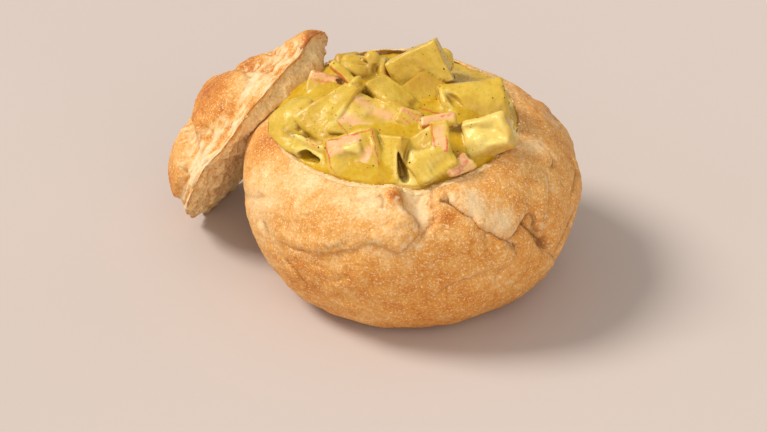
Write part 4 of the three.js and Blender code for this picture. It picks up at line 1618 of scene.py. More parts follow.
@dataclass(frozen=True)
class CrabPiece:
    """Cut of crab stick. Its face is centred on `at`; size is width, length and thickness."""

    name: str
    at: tuple[float, float, float]
    size: tuple[float, float, float]
    roll: float
    lean: float
    turn: float
    tone: CurryTone = CurryTone.CREAM
    curl: float = 0.0
    taper: float = 0.0
    round: float = 1.6
    knobs: tuple[Knob, ...] = ()
    stains: tuple[Stain, ...] = ()
    uneven: float = 0.5  # how far its faces wander
    shift: tuple[float, float, float] = (0.0, 0.0, 0.0)  # move of its sauced form, in its own frame
    fibre: float = 0.0  # depth of the strands across its lower half
    pale: float = 0.25
    contact: float = 0.9  # fillet where it meets the pieces before it

    COAT = 0.45  # thickness of the sauce on it
    WAVE = 3.2  # size of its faces' waves
    MARGIN = 4.5  # room round it on the heap's grid
    LEAST = {CurryTone.RED: (0.12, 0.4), CurryTone.PINK: (0.0, 0.22)}  # red and pink all over it

    def local(self, points: Places) -> Places:
        """Points of the part's frame in the piece's frame."""
        return (points - self.at) @ turned(self.roll, self.lean, self.turn)

    def box(self) -> tuple[Places, Places]:
        """A box that holds the piece and its fillets.

        Returns:
            The box's middle, and half of its sides.
        """
        axes = turned(self.roll, self.lean, self.turn)
        half = np.array(self.size) * (1 + abs(self.taper), 1, 1) / 2 + (0, 0, self.curl / 2)
        middle = np.array(self.at) - axes[:, 2] * (self.size[2] + self.curl) / 2
        return middle, np.abs(axes) @ half + self.MARGIN

    def distance(self, points: Places) -> Values:
        """Distance to the piece's bare surface.

        Args:
            points: Where to read it, in the part's frame.

        Returns:
            Distances, negative inside.
        """
        own = self.local(points) - self.shift
        phase = points / self.WAVE + np.array(self.at)
        own = own + self.uneven * np.sin(phase[:, [1, 2, 0]]) * np.cos(0.7 * phase[:, [2, 0, 1]])
        half = np.array(self.size) / 2 - self.COAT
        along = own[:, 1] / half[1]
        x = own[:, 0] / np.maximum(1 + self.taper * np.clip(along, -1, 1), 0.2)
        z = own[:, 2] + self.COAT + half[2] + self.curl * np.clip(along, -1.3, 1.3) ** 2
        corner = min(self.round, 0.45 * min(self.size))
        over = np.abs(np.stack([x, own[:, 1], z], axis=1)) - (half - corner)
        gap = np.linalg.norm(np.maximum(over, 0), axis=1) + np.minimum(over.max(axis=1), 0) - corner
        if self.fibre:
            strands = np.sin(2.6 * own[:, 0] + 1.3 * np.sin(0.5 * own[:, 1]))
            gap = gap + self.fibre * (strands * ease(own[:, 1], 2, -2))
        for knob in self.knobs:
            size = np.array([knob.across, knob.along, knob.deep])
            away = np.abs((own - (knob.x, knob.y, knob.z)) @ turned(knob.turn, 0, 0) / size)
            ball = ((away**knob.power).sum(axis=1) ** (1 / knob.power) - 1) * size.min()
            side = -1 if knob.dent else 1
            gap = side * blended_least(side * gap, ball, knob.soft)
        return gap

    def marks(self, points: Places) -> dict[str, Values]:
        """How much of each colour but the sauce's own shows.

        Args:
            points: Points of the piece's surface, in the part's frame.

        Returns:
            Red, pink, pale and painted-shade shares, by name.
        """
        own = self.local(points) - self.shift
        own = own + 0.45 * np.sin(points[:, [2, 0, 1]] / 1.3) * np.cos(points[:, [1, 2, 0]] / 2.1)
        red, pink, olive = np.zeros((3, len(points)))
        for stain in self.stains:
            start = np.array([stain.x, stain.y])
            run = np.array([stain.to_x, stain.to_y]) - start
            share = np.clip((own[:, :2] - start) @ run / max(run @ run, 1e-9), 0, 1)
            near = bell(np.linalg.norm(own[:, :2] - start - share[:, None] * run, axis=1) / stain.width)
            near = near * ease(own[:, 2], -self.size[2], -0.35 * self.size[2])
            red = np.maximum(red, stain.red * near)
            pink = np.maximum(pink, stain.pink * near)
            olive = np.maximum(olive, stain.shade * near)
        least_red, least_pink = self.LEAST.get(self.tone, (0.0, 0.0))
        # the olive sort: painted shade, darker towards one end of the piece
        if self.tone is CurryTone.OLIVE:
            olive = np.maximum(olive, ease(own[:, 1], -0.45 * self.size[1], 0.3 * self.size[1]))
        return {
            "red": np.maximum(red, least_red), "pink": np.maximum(pink, least_pink),
            "pale": np.full(len(points), self.pale), "olive": olive,
        }


CREAM, PINK, RED, OLIVE = CurryTone.CREAM, CurryTone.PINK, CurryTone.RED, CurryTone.OLIVE

# stains with a shade paint shade on a face, and pieces of the olive sort are painted darker towards one end
PIECES = (
    CrabPiece("crab_tee_stem", (14, -44, 101), (9, 17, 4), 12, 46, -12, PINK, shift=(0, -0.5, 3.0),
        round=1.0, uneven=0.25,
        stains=(
            Stain(-3.4, 7, -3.4, -6, 0.6, red=0.85), Stain(3.4, 0, 3.2, -7, 0.8, red=0.8),
            Stain(0, 3, 0, -6, 3.4, pink=1.0), Stain(-2, -7.4, 3, -7.6, 1.0, red=0.8))),
    CrabPiece("crab_tee_bar", (13, -30, 103), (18, 7, 5), 12, 36, -6, PINK, shift=(0, -0.4, 0.8),
        round=1.6, uneven=0.35,
        stains=(
            Stain(-7, 0.4, 7, 1, 2.6, red=0.25, pink=1.0), Stain(-8, -2.2, -1, -2.4, 0.8, red=0.7),
            Stain(2, 1, 7, 2.0, 0.9, red=0.6))),
    CrabPiece("crab_front_cube", (-28, -48, 92), (27, 27, 18), 21, 51, -14, PINK, round=2.4, uneven=0.65,
        stains=(
            Stain(-11.8, 11.4, 11.4, 11.6, 0.55, red=0.8), Stain(11.9, 11.0, 11.7, -11, 0.55, red=0.8),
            Stain(-12.0, 10.8, -11.2, -3, 0.55, red=0.8), Stain(-11.2, -3, -7, -9, 0.5, red=0.55),
            Stain(-9, 9, 4, 9.6, 2.8, pink=1.0), Stain(-10.5, 5.6, -5, 5.4, 2.0, red=0.2, pink=1.0),
            Stain(1, -6, 9, 2, 2.6, pink=1.0), Stain(-1, -7.5, 1.5, -5, 1.0, red=0.4, pink=0.7)),
        knobs=(
            Knob(3, 3.5, 0.6, 5, 2.4, 1.3), Knob(-2, 0.5, 1.2, 5, 3, 1.9, dent=True),
            Knob(7, 4, 1.2, 2.2, 4.5, 1.8, dent=True),
            Knob(-2, -14, -1.0, 18, 4.5, 2.2, dent=True, soft=4.0))),
    CrabPiece("crab_step_block", (7, -50, 94.5), (22, 25, 17), 44, 43, -16, shift=(0, 0, 0.6), fibre=0.22,
        knobs=(
            Knob(0, 9.0, 4.0, 17, 9.2, 5.2, dent=True, power=8, soft=0.8),
            Knob(-2.5, -1.8, 0.2, 3.4, 1.6, 0.8), Knob(4.5, -2.2, 0.2, 3.6, 1.8, 0.9),
            Knob(-5.5, -4, 0.4, 1.6, 6, 0.9))),
    CrabPiece("crab_wedge", (-12, -49, 93), (15, 22, 13), 16, 60, -42, round=0.9, uneven=0.35,
        contact=0.5, stains=(Stain(3, 9.5, 6, 9, 0.6, red=0.45), Stain(7, 4, 6, -9, 2.0, shade=0.35))),
    CrabPiece("crab_rough_cube", (36, -37, 99), (23, 18, 18), 28, 46, -24, pale=0.95, uneven=0.8,
        knobs=(
            Knob(0.5, 1.8, 1.0, 5.6, 2.2, 2.6, dent=True, soft=1.3),
            Knob(5.2, -2.2, 1.0, 3.0, 3.0, 2.2, dent=True, soft=1.6),
            Knob(-3.4, -3.0, -0.2, 4.4, 2.6, 1.5, soft=1.2), Knob(-2, 5.8, -0.2, 6.5, 1.2, 1.2, soft=1.2),
            Knob(3.2, -6.2, 0.0, 3.0, 1.4, 1.2, soft=1.2), Knob(7.6, 3.4, -0.2, 1.6, 3.0, 1.4, soft=1.2)),
        stains=(Stain(11.4, 8, 11.4, -8, 1.8, shade=0.9), Stain(-8, -8.6, 10, -8.6, 1.4, shade=0.5))),
    CrabPiece("crab_rolled_slab", (30, -12, 104), (33, 24, 13), 6, 38, 4, shift=(1.6, 0, 0), curl=4.0,
        round=2.4,
        knobs=(
            Knob(-9.4, -0.6, 1.4, 3.0, 9.6, 6.0, dent=True, soft=1.2, turn=31.0),
            Knob(-17.0, -11.0, -2.0, 8.0, 10.0, 14.0, dent=True, soft=2.0)),
        stains=(Stain(-12, 4, -6.5, -5.0, 2.6, shade=0.6),)),
    CrabPiece("crab_tall_block", (5, 5, 109), (28, 23, 12), 30, 73, -11, shift=(0, 0.5, 0), round=0.9,
        uneven=0.35, contact=0.5),
    CrabPiece("crab_back_lump", (18, 17, 110), (8, 12, 9), 10, 60, 0, round=3.0),
    CrabPiece("crab_shaded_flake", (8, -2, 106), (25, 16, 4), -8, 42, 16, OLIVE, shift=(-0.5, -0.3, 0.6),
        taper=-0.85, round=0.8, uneven=0.3),
    CrabPiece("crab_centre_block", (-8.5, -10, 106.8), (17, 26, 12), -25, 18, 72, shift=(0, 0, 1.3),
        round=2.0, uneven=0.4, contact=1.8,
        knobs=(Knob(5.0, -12.0, 1.0, 6.0, 3.4, 4.0, dent=True, soft=1.0),),
        stains=(Stain(-5, -10.5, 13, -10.5, 3.4, shade=0.7), Stain(-8, 9, -8, -10, 2.4, shade=0.4))),
    CrabPiece("crab_left_fold", (-37, -21, 104), (15, 36, 10), -36, 36, -12, shift=(-1.6, 0.6, 2.6),
        taper=-0.6, curl=2.5, round=1.4, contact=0.8, uneven=0.4,
        knobs=(
            Knob(-5.5, -5, 3.4, 5.0, 12, 4.0, dent=True, soft=4.0),
            Knob(-1, 17.5, -1.0, 1.5, 2.6, 1.5, soft=1.6)),
        stains=(Stain(5.5, 12, 7.5, -12, 2.0, shade=0.5),)),
    CrabPiece("crab_left_mound", (-58, -19, 96), (24, 30, 11), -20, 30, -30, shift=(0, 0, 2.0), curl=4.0,
        round=4.0, contact=2.2, uneven=0.7,
        knobs=(
            Knob(5.4, 0.9, 0.8, 3.0, 3.6, 4.6, dent=True, soft=1.6),
            Knob(-3, 2, -1.0, 5, 6, 3.6, soft=4.0), Knob(0, 9, -1.2, 4, 5, 3.2, soft=4.0))),
    CrabPiece("crab_left_cube", (-43, 12, 100.5), (17, 12, 12), -8, 28, -6, RED, shift=(0, 0, 1.3),
        round=1.1,
        stains=(
            Stain(-7, 4.0, 7, 3.0, 2.8, red=0.36, pink=1.0), Stain(-6, 5.6, 6, 4.8, 1.0, red=0.6),
            Stain(-7, 0.6, 5, 0.0, 1.2, red=0.6, pink=0.6), Stain(-6, -3.5, 6, -3.5, 2.4, shade=0.5))),
    CrabPiece("crab_thin_stick", (-32, 10, 107), (5, 20, 4), 44, 34, 0, round=0.9, uneven=0.2,
        contact=0.5, stains=(Stain(-1.9, 8, -2.2, -9, 0.55, red=0.9),)),
    CrabPiece("crab_round_fold", (-22, 18, 106), (25, 17, 12), -6, 44, 6, curl=3.0, round=4.0, uneven=0.6,
        knobs=(
            Knob(3.5, 4.6, 0.6, 3.8, 3.6, 3.0, soft=2.0),
            Knob(5.6, -1.5, 1.6, 2.4, 3.4, 2.6, dent=True, soft=1.6),
            Knob(9.5, -1, -0.5, 2.2, 6.0, 2.6, soft=2.0), Knob(-5, -2.4, 0.2, 6.5, 3.4, 2.4, soft=2.4),
            Knob(-2, 2.2, 1.0, 5, 1.2, 1.6, dent=True, soft=1.6)),
        stains=(Stain(11.0, 1, 10.8, -6, 0.9, red=0.8),)),
    CrabPiece("crab_back_disc", (-31, 35, 103.5), (13, 8, 5), 8, 30, 0, OLIVE, shift=(0, 0, -0.8),
        round=2.2),
    CrabPiece("crab_sunk_sheet", (-21, -26, 102), (34, 26, 8), -16, 24, 0, PINK, shift=(0, 0, 0.2),
        round=1.2, uneven=0.8, contact=0.6,
        knobs=(Knob(3, -2, 1.4, 9, 6, 2.2, dent=True, soft=3.0), Knob(-7, 5, 0.2, 4, 5, 1.0, soft=2.0)),
        stains=(
            Stain(-8, 8, 10, 3, 4.6, pink=0.7), Stain(-13, -3, 2, -6, 4.0, pink=1.0),
            Stain(-14.5, -3, -9, 8, 0.6, red=0.75), Stain(-14.5, -5, -8, -11, 0.6, red=0.75),
            Stain(-6, 8, 4, 12, 0.7, red=0.55), Stain(-9, 2, -4, -1, 0.8, red=0.4),
            Stain(13, 4, 17, -2, 0.8, red=0.75, pink=0.8))),
    CrabPiece("crab_red_end", (0, -27, 103), (13, 9, 8), -24, 34, 10, RED, round=1.4, contact=0.8,
        stains=(
            Stain(-5.5, 2.5, 5, -1, 1.3, red=0.62, pink=0.8), Stain(-3, -2.4, 3, -4.6, 0.8, red=0.55),
            Stain(0, 2, 4, 2, 1.2, red=0.5, shade=0.5))),
    CrabPiece("crab_rim_chunk", (24, -54.5, 90), (14, 10, 8), 34, 46, 18, RED, shift=(0, 0, 0.2),
        round=1.1,
        stains=(
            Stain(-6, -1.0, 5, 1.0, 3.0, red=0.5, pink=1), Stain(-6, 2.6, 5, 3.6, 1.6, red=0.55, pink=1),
            Stain(-2, -4.4, 5, -3.0, 1.2, red=0.5, pink=1))),
    CrabPiece("crab_right_flap", (47, -8, 93), (9, 24, 7), -14, 34, 38, round=2.6),
    CrabPiece("crab_back_flake", (30, 27, 95.5), (25, 15, 6), -18, 20, 8, shift=(0, -1.5, -2.4),
        round=2.8, contact=4.0),
    CrabPiece("crab_back_cube", (8, 34, 102), (19, 17, 14), 18, -16, 8, shift=(0, 0, -1.6), round=1.5),
    CrabPiece("crab_middle_chunk", (-5, 21, 105), (15, 13, 11), 30, 20, -12, PINK, shift=(0, 0, -1.4),
        round=1.6),
    CrabPiece("crab_back_strip", (-19, 45, 96), (22, 10, 7), -14, -24, -8, round=1.5),
    CrabPiece("crab_hollow_curl", (-49, -37, 91), (22, 8, 5), -12, 46, -22, shift=(0, -0.6, -0.2),
        round=2.0, contact=2.4, uneven=0.6,
        knobs=(Knob(1, 3.6, 0.6, 8.5, 1.2, 1.0, soft=1.4),),
        stains=(Stain(-3, 3.8, 3, 3.6, 0.7, red=0.7),)),
    CrabPiece("crab_low_wedge", (-1, -59, 86.8), (12, 11, 7), 30, 48, -6, shift=(-1.5, 0, -1.6),
        round=1.0, pale=0.8),
)


@dataclass(frozen=True)
class Dip:
    """Hollow in the sauce between pieces."""

    x: float
    y: float
    radius: float
    depth: float


@dataclass(frozen=True)
class Hole:
    """Dark hollow under a fold or between pieces, as a lying egg shape. Its axis turns about Z."""

    at: tuple[float, float, float]
    half: tuple[float, float, float]
    turn: float = 0.0
    taper: float = 0.0  # how much it widens towards the front and down, away from its left side

    def distance(self, points: Places) -> Values:
        """Distance to the hollow's surface.

        Args:
            points: Where to read it.

        Returns:
            Distances, negative inside.
        """
        own = (points - self.at) @ turned(0, 0, self.turn) / np.array(self.half)
        wide = 1 - self.taper * np.clip((own[:, 1] + own[:, 2]) / 1.4, -1, 1)
        own[:, 0] = (own[:, 0] + 1) / wide - 1
        return (np.linalg.norm(own, axis=1) - 1) * min(self.half)


@dataclass(frozen=True)
class CrabCut:
    """A crab piece on the heap's grid: its part of the grid, and its distances there."""

    piece: CrabPiece
    block: tuple[slice, slice, slice]
    distances: np.ndarray


@dataclass
class CurryHeap:
    """Sauce and the crab pieces coated in it, worked out together as one field of distances."""

    mouth: Mouth = Mouth()
    low: tuple[float, float, float] = (-70.0, -62.0, 76.0)
    high: tuple[float, float, float] = (56.0, 66.0, 127.0)
    step: float = 0.55
    rise: float = 16.0
    back_drop: float = 8.0
    back_start: float = 8.0
    power: float = 4.0
    lap: float = 0.7  # how far it stands over the rim where it meets it
    sink: float = 1.6  # how far the sauce lies under the heap's outline, between pieces
    fillet: float = 2.6
    overlap: float = 0.8
    hang: float = 1.6  # how fast the limit of the pieces widens above the rim
    sauce_hang: float = 0.5
    rounding: float = 1.8  # how softly the heap turns down where it ends over the rim
    reach_in: float = 0.4  # how far the sauce runs into the wall of the bread
    flat_bottom: float = 80.2
    sauce_thinning: float = 1.18  # how much coarser the sauce's mesh is than the pieces'
    hole_edge: float = 0.9  # how softly holes turn in
    wall_rings: int = 12
    hollow: Hollow = Hollow(24.6, 37.7)

    DIPS = (
        Dip(-5, -48, 3.2, 6.0), Dip(-46, -40, 4.0, 3.0), Dip(-21, -16, 3.0, 3.0), Dip(46, -20, 4.0, 3.0),
        Dip(22, -44, 3.5, 3.0), Dip(-32, -35, 3.0, 2.5), Dip(14, -20, 5.0, 2.0), Dip(40, 8, 6.0, 2.5),
        Dip(18, -57, 4.0, 2.0), Dip(-30, 28, 6.0, 2.0), Dip(26, 36, 8.0, 2.0), Dip(-44, 30, 6.0, 2.0),
        Dip(-31, 35, 7.0, -2.6),
    )

    HOLES = (
        Hole((-50.6, -35.6, 87.4), (4.4, 6.0, 2.4), -24), Hole((-46.0, -36.0, 87.2), (4.4, 6.0, 1.6), 4),
        Hole((-4.6, -55.0, 90.9), (2.2, 10.0, 7.4), 3, taper=0.8),
        Hole((21.5, -28.5, 98.5), (2.2, 4.4, 2.6), 20), Hole((48.5, -24, 92.5), (2.0, 6.0, 3.0), -14),
        Hole((50, 3, 93), (2.2, 5.5, 3.0), 16), Hole((15.5, -61, 86.8), (6.5, 2.4, 1.8), 18),
        Hole((21, 10, 105), (1.6, 5.0, 3.2), 0), Hole((-35.0, 12.0, 100.5), (1.6, 3.2, 2.0), 40),
        Hole((-14.5, 8, 105), (1.8, 4.5, 3.6), 0), Hole((30, -47.5, 91.5), (4.5, 1.8, 2.2), 26),
        Hole((-31.6, -20, 101.0), (0.8, 8.0, 2.0), -34), Hole((48.0, 9.0, 91.0), (2.2, 6.5, 4.5), -20),
        Hole((49.0, -16.5, 88.0), (2.8, 5.0, 4.0), 20),
    )

    THREADS = (  # red threads on the sauce, seen from above
        ((4.9, -15.0), (17.4, -18.1)), ((-8.9, -39.2), (-3.2, -37.7)),
    )
    SWELLING = (Layer(RIPPLES, 0.9, 16), Layer(RIPPLES, 0.5, 7))
    WAVES = (Layer(RIPPLES, 0.3, 6.0), Layer(RIPPLES, 0.16, 2.8), Layer(RIPPLES, 0.06, 1.3))
    WAVER = Layer(RIPPLES, 0.5, 4.0)
    SLOTS = {CREAM: "crab_meat", OLIVE: "crab_meat", PINK: "crab_pink", RED: "crab_red"}

    def _heap_top(self, x: Values, y: Values) -> Values:
        """Height of the sauce between the pieces.

        Args:
            x: Places across.
            y: Places towards the back.

        Returns:
            The height at each place.
        """
        out = np.hypot(x - self.mouth.x, y - self.mouth.y) / self.mouth.radius
        back = np.clip((y - self.back_start) / (self.mouth.radius - self.back_start), 0, 1)
        rise = self.rise - self.sink - self.back_drop * back
        top = self.mouth.level(y) + rise * (1 - np.clip(out, 0, 1.1) ** self.power) + self.lap
        flat = np.column_stack([x.ravel(), y.ravel(), np.zeros(x.size)])
        top = top + lifted(self.SWELLING, flat).reshape(x.shape)
        top = top + np.minimum(self.mouth.swell(x, y), 0) * ease(out, 0.75, 0.95)
        for dip in self.DIPS:
            top = top - dip.depth * bell(np.hypot(x - dip.x, y - dip.y) / dip.radius)
        return top

    def _axes(self) -> list[Values]:
        """Sample places along X, Y and Z."""
        return [np.arange(a, b, self.step) for a, b in zip(self.low, self.high)]

    def _sampled(self, block: tuple, distance: Callable[[Places], Values]) -> np.ndarray:
        """Reads distances on a part of the grid.

        Args:
            block: The part.
            distance: What gives the distance at points.

        Returns:
            The distances, in the part's shape.
        """
        mesh = np.meshgrid(*(axis[part] for axis, part in zip(self._axes(), block)), indexing="ij")
        points = np.stack([values.ravel() for values in mesh], axis=1)
        return distance(points).reshape(mesh[0].shape)

    def _field(self) -> tuple[np.ndarray, np.ndarray, list[CrabCut]]:
        """Distances to the coated heap.

        Returns:
            Distance to the whole coated surface, distance to the nearest piece, and the pieces.
        """
        axes = self._axes()
        x, y = np.meshgrid(axes[0], axes[1], indexing="ij")
        heap = (axes[2][None, None, :] - self._heap_top(x, y)[:, :, None]) * 0.85
        nearest = np.full(heap.shape, 30.0)
        cuts = []
        for piece in PIECES:
            block = self._block(*piece.box(), heap.shape)
            own = self._sampled(block, piece.distance)
            nearest[block] = blended_least(nearest[block], own - piece.COAT, piece.contact)
            cuts.append(CrabCut(piece, block, own))
        coated = blended_least(heap, nearest, self.fillet)
        for hole in self.HOLES:
            block = self._block(np.array(hole.at), np.full(3, max(hole.half) + 3.0), coated.shape)
            own = self._sampled(block, hole.distance)
            coated[block] = -blended_least(-coated[block], own, self.hole_edge)
        return coated, nearest, cuts

    def _limits(self) -> tuple[np.ndarray, np.ndarray]:
        """How far samples lie past the hollow's wall, which gives way above the rim.

        Returns:
            Distance past the limit of the crab pieces, and past that of the sauce.
        """
        axes = self._axes()
        x, y = np.meshgrid(axes[0], axes[1], indexing="ij")
        out = np.hypot(x - self.mouth.x, y - self.mouth.y)
        cut = self.mouth.level(y) + np.minimum(self.mouth.swell(x, y), 0)
        over = np.clip(axes[2][None, None, :] - cut[:, :, None], 0, 6)
        wall = out[:, :, None] - self.mouth.radius - self.reach_in
        return wall - self.hang * over, wall - self.sauce_hang * over

    def _block(self, middle: Places, half: Places, shape: tuple) -> tuple:
        """Part of the grid round a box.

        Args:
            middle: The box's middle.
            half: Half of its sides.
            shape: Sizes of the grid.

        Returns:
            Slices of the grid along X, Y and Z.
        """
        first = np.maximum(((middle - half - self.low) / self.step).astype(int), 0)
        last = np.minimum(((middle + half - self.low) / self.step).astype(int) + 1, shape)
        return tuple(slice(a, b) for a, b in zip(first, last))

    def _gap_shade_and_edge_light(self, points: Places, normals: Places, coated: np.ndarray) -> dict[str, Values]:
        """Painted shade where points lie in a gap between pieces, and paleness where they lie on an edge,
        partly a thinner coat and partly a painted highlight.

        Args:
            points: The points.
            normals: Outward directions at them.
            coated: Distances to the whole coated surface.

        Returns:
            Both shares, by name.
        """

        def field_at(places: Places) -> Values:
            """Distances at the samples next to places."""
            index = np.rint((places - self.low) / self.step).astype(int)
            index = np.clip(index, 0, np.array(coated.shape) - 1)
            return coated[tuple(index.T)]

        out = sum(field_at(points + normals * reach) / reach for reach in (1.6, 3.2, 5.0)) / 3
        inside = sum(field_at(points - normals * reach) / reach for reach in (1.4, 2.6)) / 2
        # gap: painted shade, an ambient occlusion read off the field; edge: paler edges, partly a thinner
        # coat and partly a painted highlight
        return {"gap": ease(out, 0.7, -0.15), "edge": ease(inside, -0.72, -0.2)}

    def _wavy(self, skin: Skin) -> Skin:
        """Gives a skin the small unevenness of a thick sauce.

        Args:
            skin: The skin, of which a flat underside stays as it is.

        Returns:
            The same skin.
        """
        up = ease(skin.points[:, 2], self.flat_bottom + 1, self.flat_bottom + 4)
        skin.points = skin.points + skin.normals() * (lifted(self.WAVES, skin.points) * up)[:, None]
        return skin

    def _carried_down(self, skin: Skin) -> Skin:
        """Swaps the sauce's flat underside for rings along the hollow's wall, down to its floor.

        Args:
            skin: The sauce with its flat underside.

        Returns:
            The closed skin of the sauce that fills the hollow.
        """
        hollow, mouth = self.hollow, self.mouth
        flat = skin.points[:, 2] < self.flat_bottom + 0.01
        kept = skin.corners[~flat[skin.corners].all(axis=1)]
        used, numbers = np.unique(kept, return_inverse=True)
        kept, points = numbers.reshape(-1, 3), skin.points[used]
        edges = np.concatenate([kept[:, [0, 1]], kept[:, [1, 2]], kept[:, [2, 0]]])
        key = edges @ (len(points), 1)
        edges = edges[~np.isin(key, edges[:, ::-1] @ (len(points), 1))]
        loop, ends = np.unique(edges, return_inverse=True)
        a, b = ends.reshape(-1, 2).T
        middle = np.array([mouth.x, mouth.y])
        all_points, all_corners = [points], [kept]
        above = loop
        for ring in range(1, self.wall_rings + 1):
            climb = hollow.climb_at(self.flat_bottom) * (1 - ring / self.wall_rings) ** 2
            narrowed = hollow.radius_at(climb) / mouth.radius
            height = hollow.floor + climb * (mouth.height - hollow.floor)
            around = middle + (points[loop, :2] - middle) * narrowed
            all_points.append(np.column_stack([around, np.full(len(loop), height)]))
            below = len(points) + (ring - 1) * len(loop) + np.arange(len(loop))
            all_corners.append(np.stack([above[b], above[a], below[a]], axis=1))
            all_corners.append(np.stack([above[b], below[a], below[b]], axis=1))
            above = below
        pole = np.full(len(a), above[-1] + 1)
        all_points.append(np.array([[*middle, hollow.floor]]))
        all_corners.append(np.stack([above[b], above[a], pole], axis=1))
        return Skin(np.concatenate(all_points), np.concatenate(all_corners))

    def _red_threads(self, points: Places) -> Values:
        """How much points of the sauce lie on its red threads.

        Args:
            points: The points.

        Returns:
            Red shares.
        """
        red = np.zeros(len(points))
        for start, end in self.THREADS:
            run = np.subtract(end, start)
            share = np.clip((points[:, :2] - start) @ run / (run @ run), 0, 1)
            off = points[:, :2] - start - share[:, None] * run + self.WAVER.at(points)[:, None]
            red = np.maximum(red, 0.85 * bell(np.hypot(off[:, 0], off[:, 1]) / 0.6))
        return red * ease(points[:, 2], self.flat_bottom + 8, self.flat_bottom + 12)

    def _build_sauce(
        self, solid: np.ndarray, coated: np.ndarray, finish: Material
    ) -> Piece:
        """Makes the sauce.

        Args:
            solid: Distances to the sauce alone.
            coated: Distances to the whole coated surface.
            finish: The curry's finish.

        Returns:
            The sauce's object.
        """
        step = self.step * self.sauce_thinning
        skin = self._wavy(skin_of(thinned(solid, self.sauce_thinning), np.array(self.low), step))
        skin = self._carried_down(skin)
        none = np.zeros(len(skin.points))
        skin.values = {"red": self._red_threads(skin.points), "pink": none, "pale": none, "olive": none}
        skin.values |= self._gap_shade_and_edge_light(skin.points, skin.normals(), coated)
        sauce = skin.to_object("curry_sauce_heap", finish)
        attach(sauce, "root")
        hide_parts("curry_sauce")
        log.info("curry sauce: %d triangles", len(skin.corners))
        return sauce

    def _build_crab(
        self, cut: CrabCut, coated: np.ndarray, wall: np.ndarray, finish: Material
    ) -> Piece:
        """Makes one crab piece with its coat of sauce.

        Args:
            cut: The piece on the grid.
            coated: Distances to the whole coated surface.
            wall: Distances past the limit of the pieces.
            finish: The curry's finish.

        Returns:
            The piece's object.
        """
        piece, block = cut.piece, cut.block
        lift = 0.4 * ease(cut.distances, self.overlap - 0.8, self.overlap + 0.8)
        solid = np.maximum(coated[block] + lift, cut.distances - self.overlap - 1.0)
        corner = np.array(self.low) + np.array([part.start for part in block]) * self.step
        skin = self._wavy(skin_of(np.maximum(solid, wall[block]), corner, self.step))
        skin.values = piece.marks(skin.points) | self._gap_shade_and_edge_light(skin.points, skin.normals(), coated)
        crab = skin.to_object(piece.name + "_coated", finish)
        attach(crab, "root")
        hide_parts(piece.name)
        return crab

    def build(self) -> list[Piece]:
        """Makes the sauce and every crab piece, and dresses them.

        Returns:
            Their objects, the sauce first.
        """
        coated, nearest, cuts = self._field()
        wall, rim = self._limits()
        bottom = (self.flat_bottom - self._axes()[2])[None, None, :]
        coated = -blended_least(-coated, -wall, self.rounding)
        finish = CurryFinish("curry_coat").material()
        dip = 0.4 * ease(nearest, self.overlap + CrabPiece.COAT, -1.5)
        solid = np.maximum(np.maximum(coated + dip, rim), bottom)
        made = [self._build_sauce(solid, coated, finish)]
        made += [self._build_crab(cut, coated, wall, finish) for cut in cuts]
        log.info("crab pieces: %d, triangles %d", len(cuts), sum(len(o.data.polygons) for o in made[1:]))
        self.skin = self._wavy(skin_of(np.maximum(coated, wall + 2), np.array(self.low), self.step))
        return made

    def open_surface(self) -> Skin:
        """The part of the heap's surface that lies open, once the heap is built.

        Returns:
            The surface on which grains lie.
        """
        points, mouth = self.skin.points, self.mouth
        out = np.hypot(points[:, 0] - mouth.x, points[:, 1] - mouth.y)
        return self.skin.part((points[:, 2] > mouth.level(points[:, 1]) - 4) & (out < mouth.radius - 2))


# ---- grains, made by geometry nodes ----


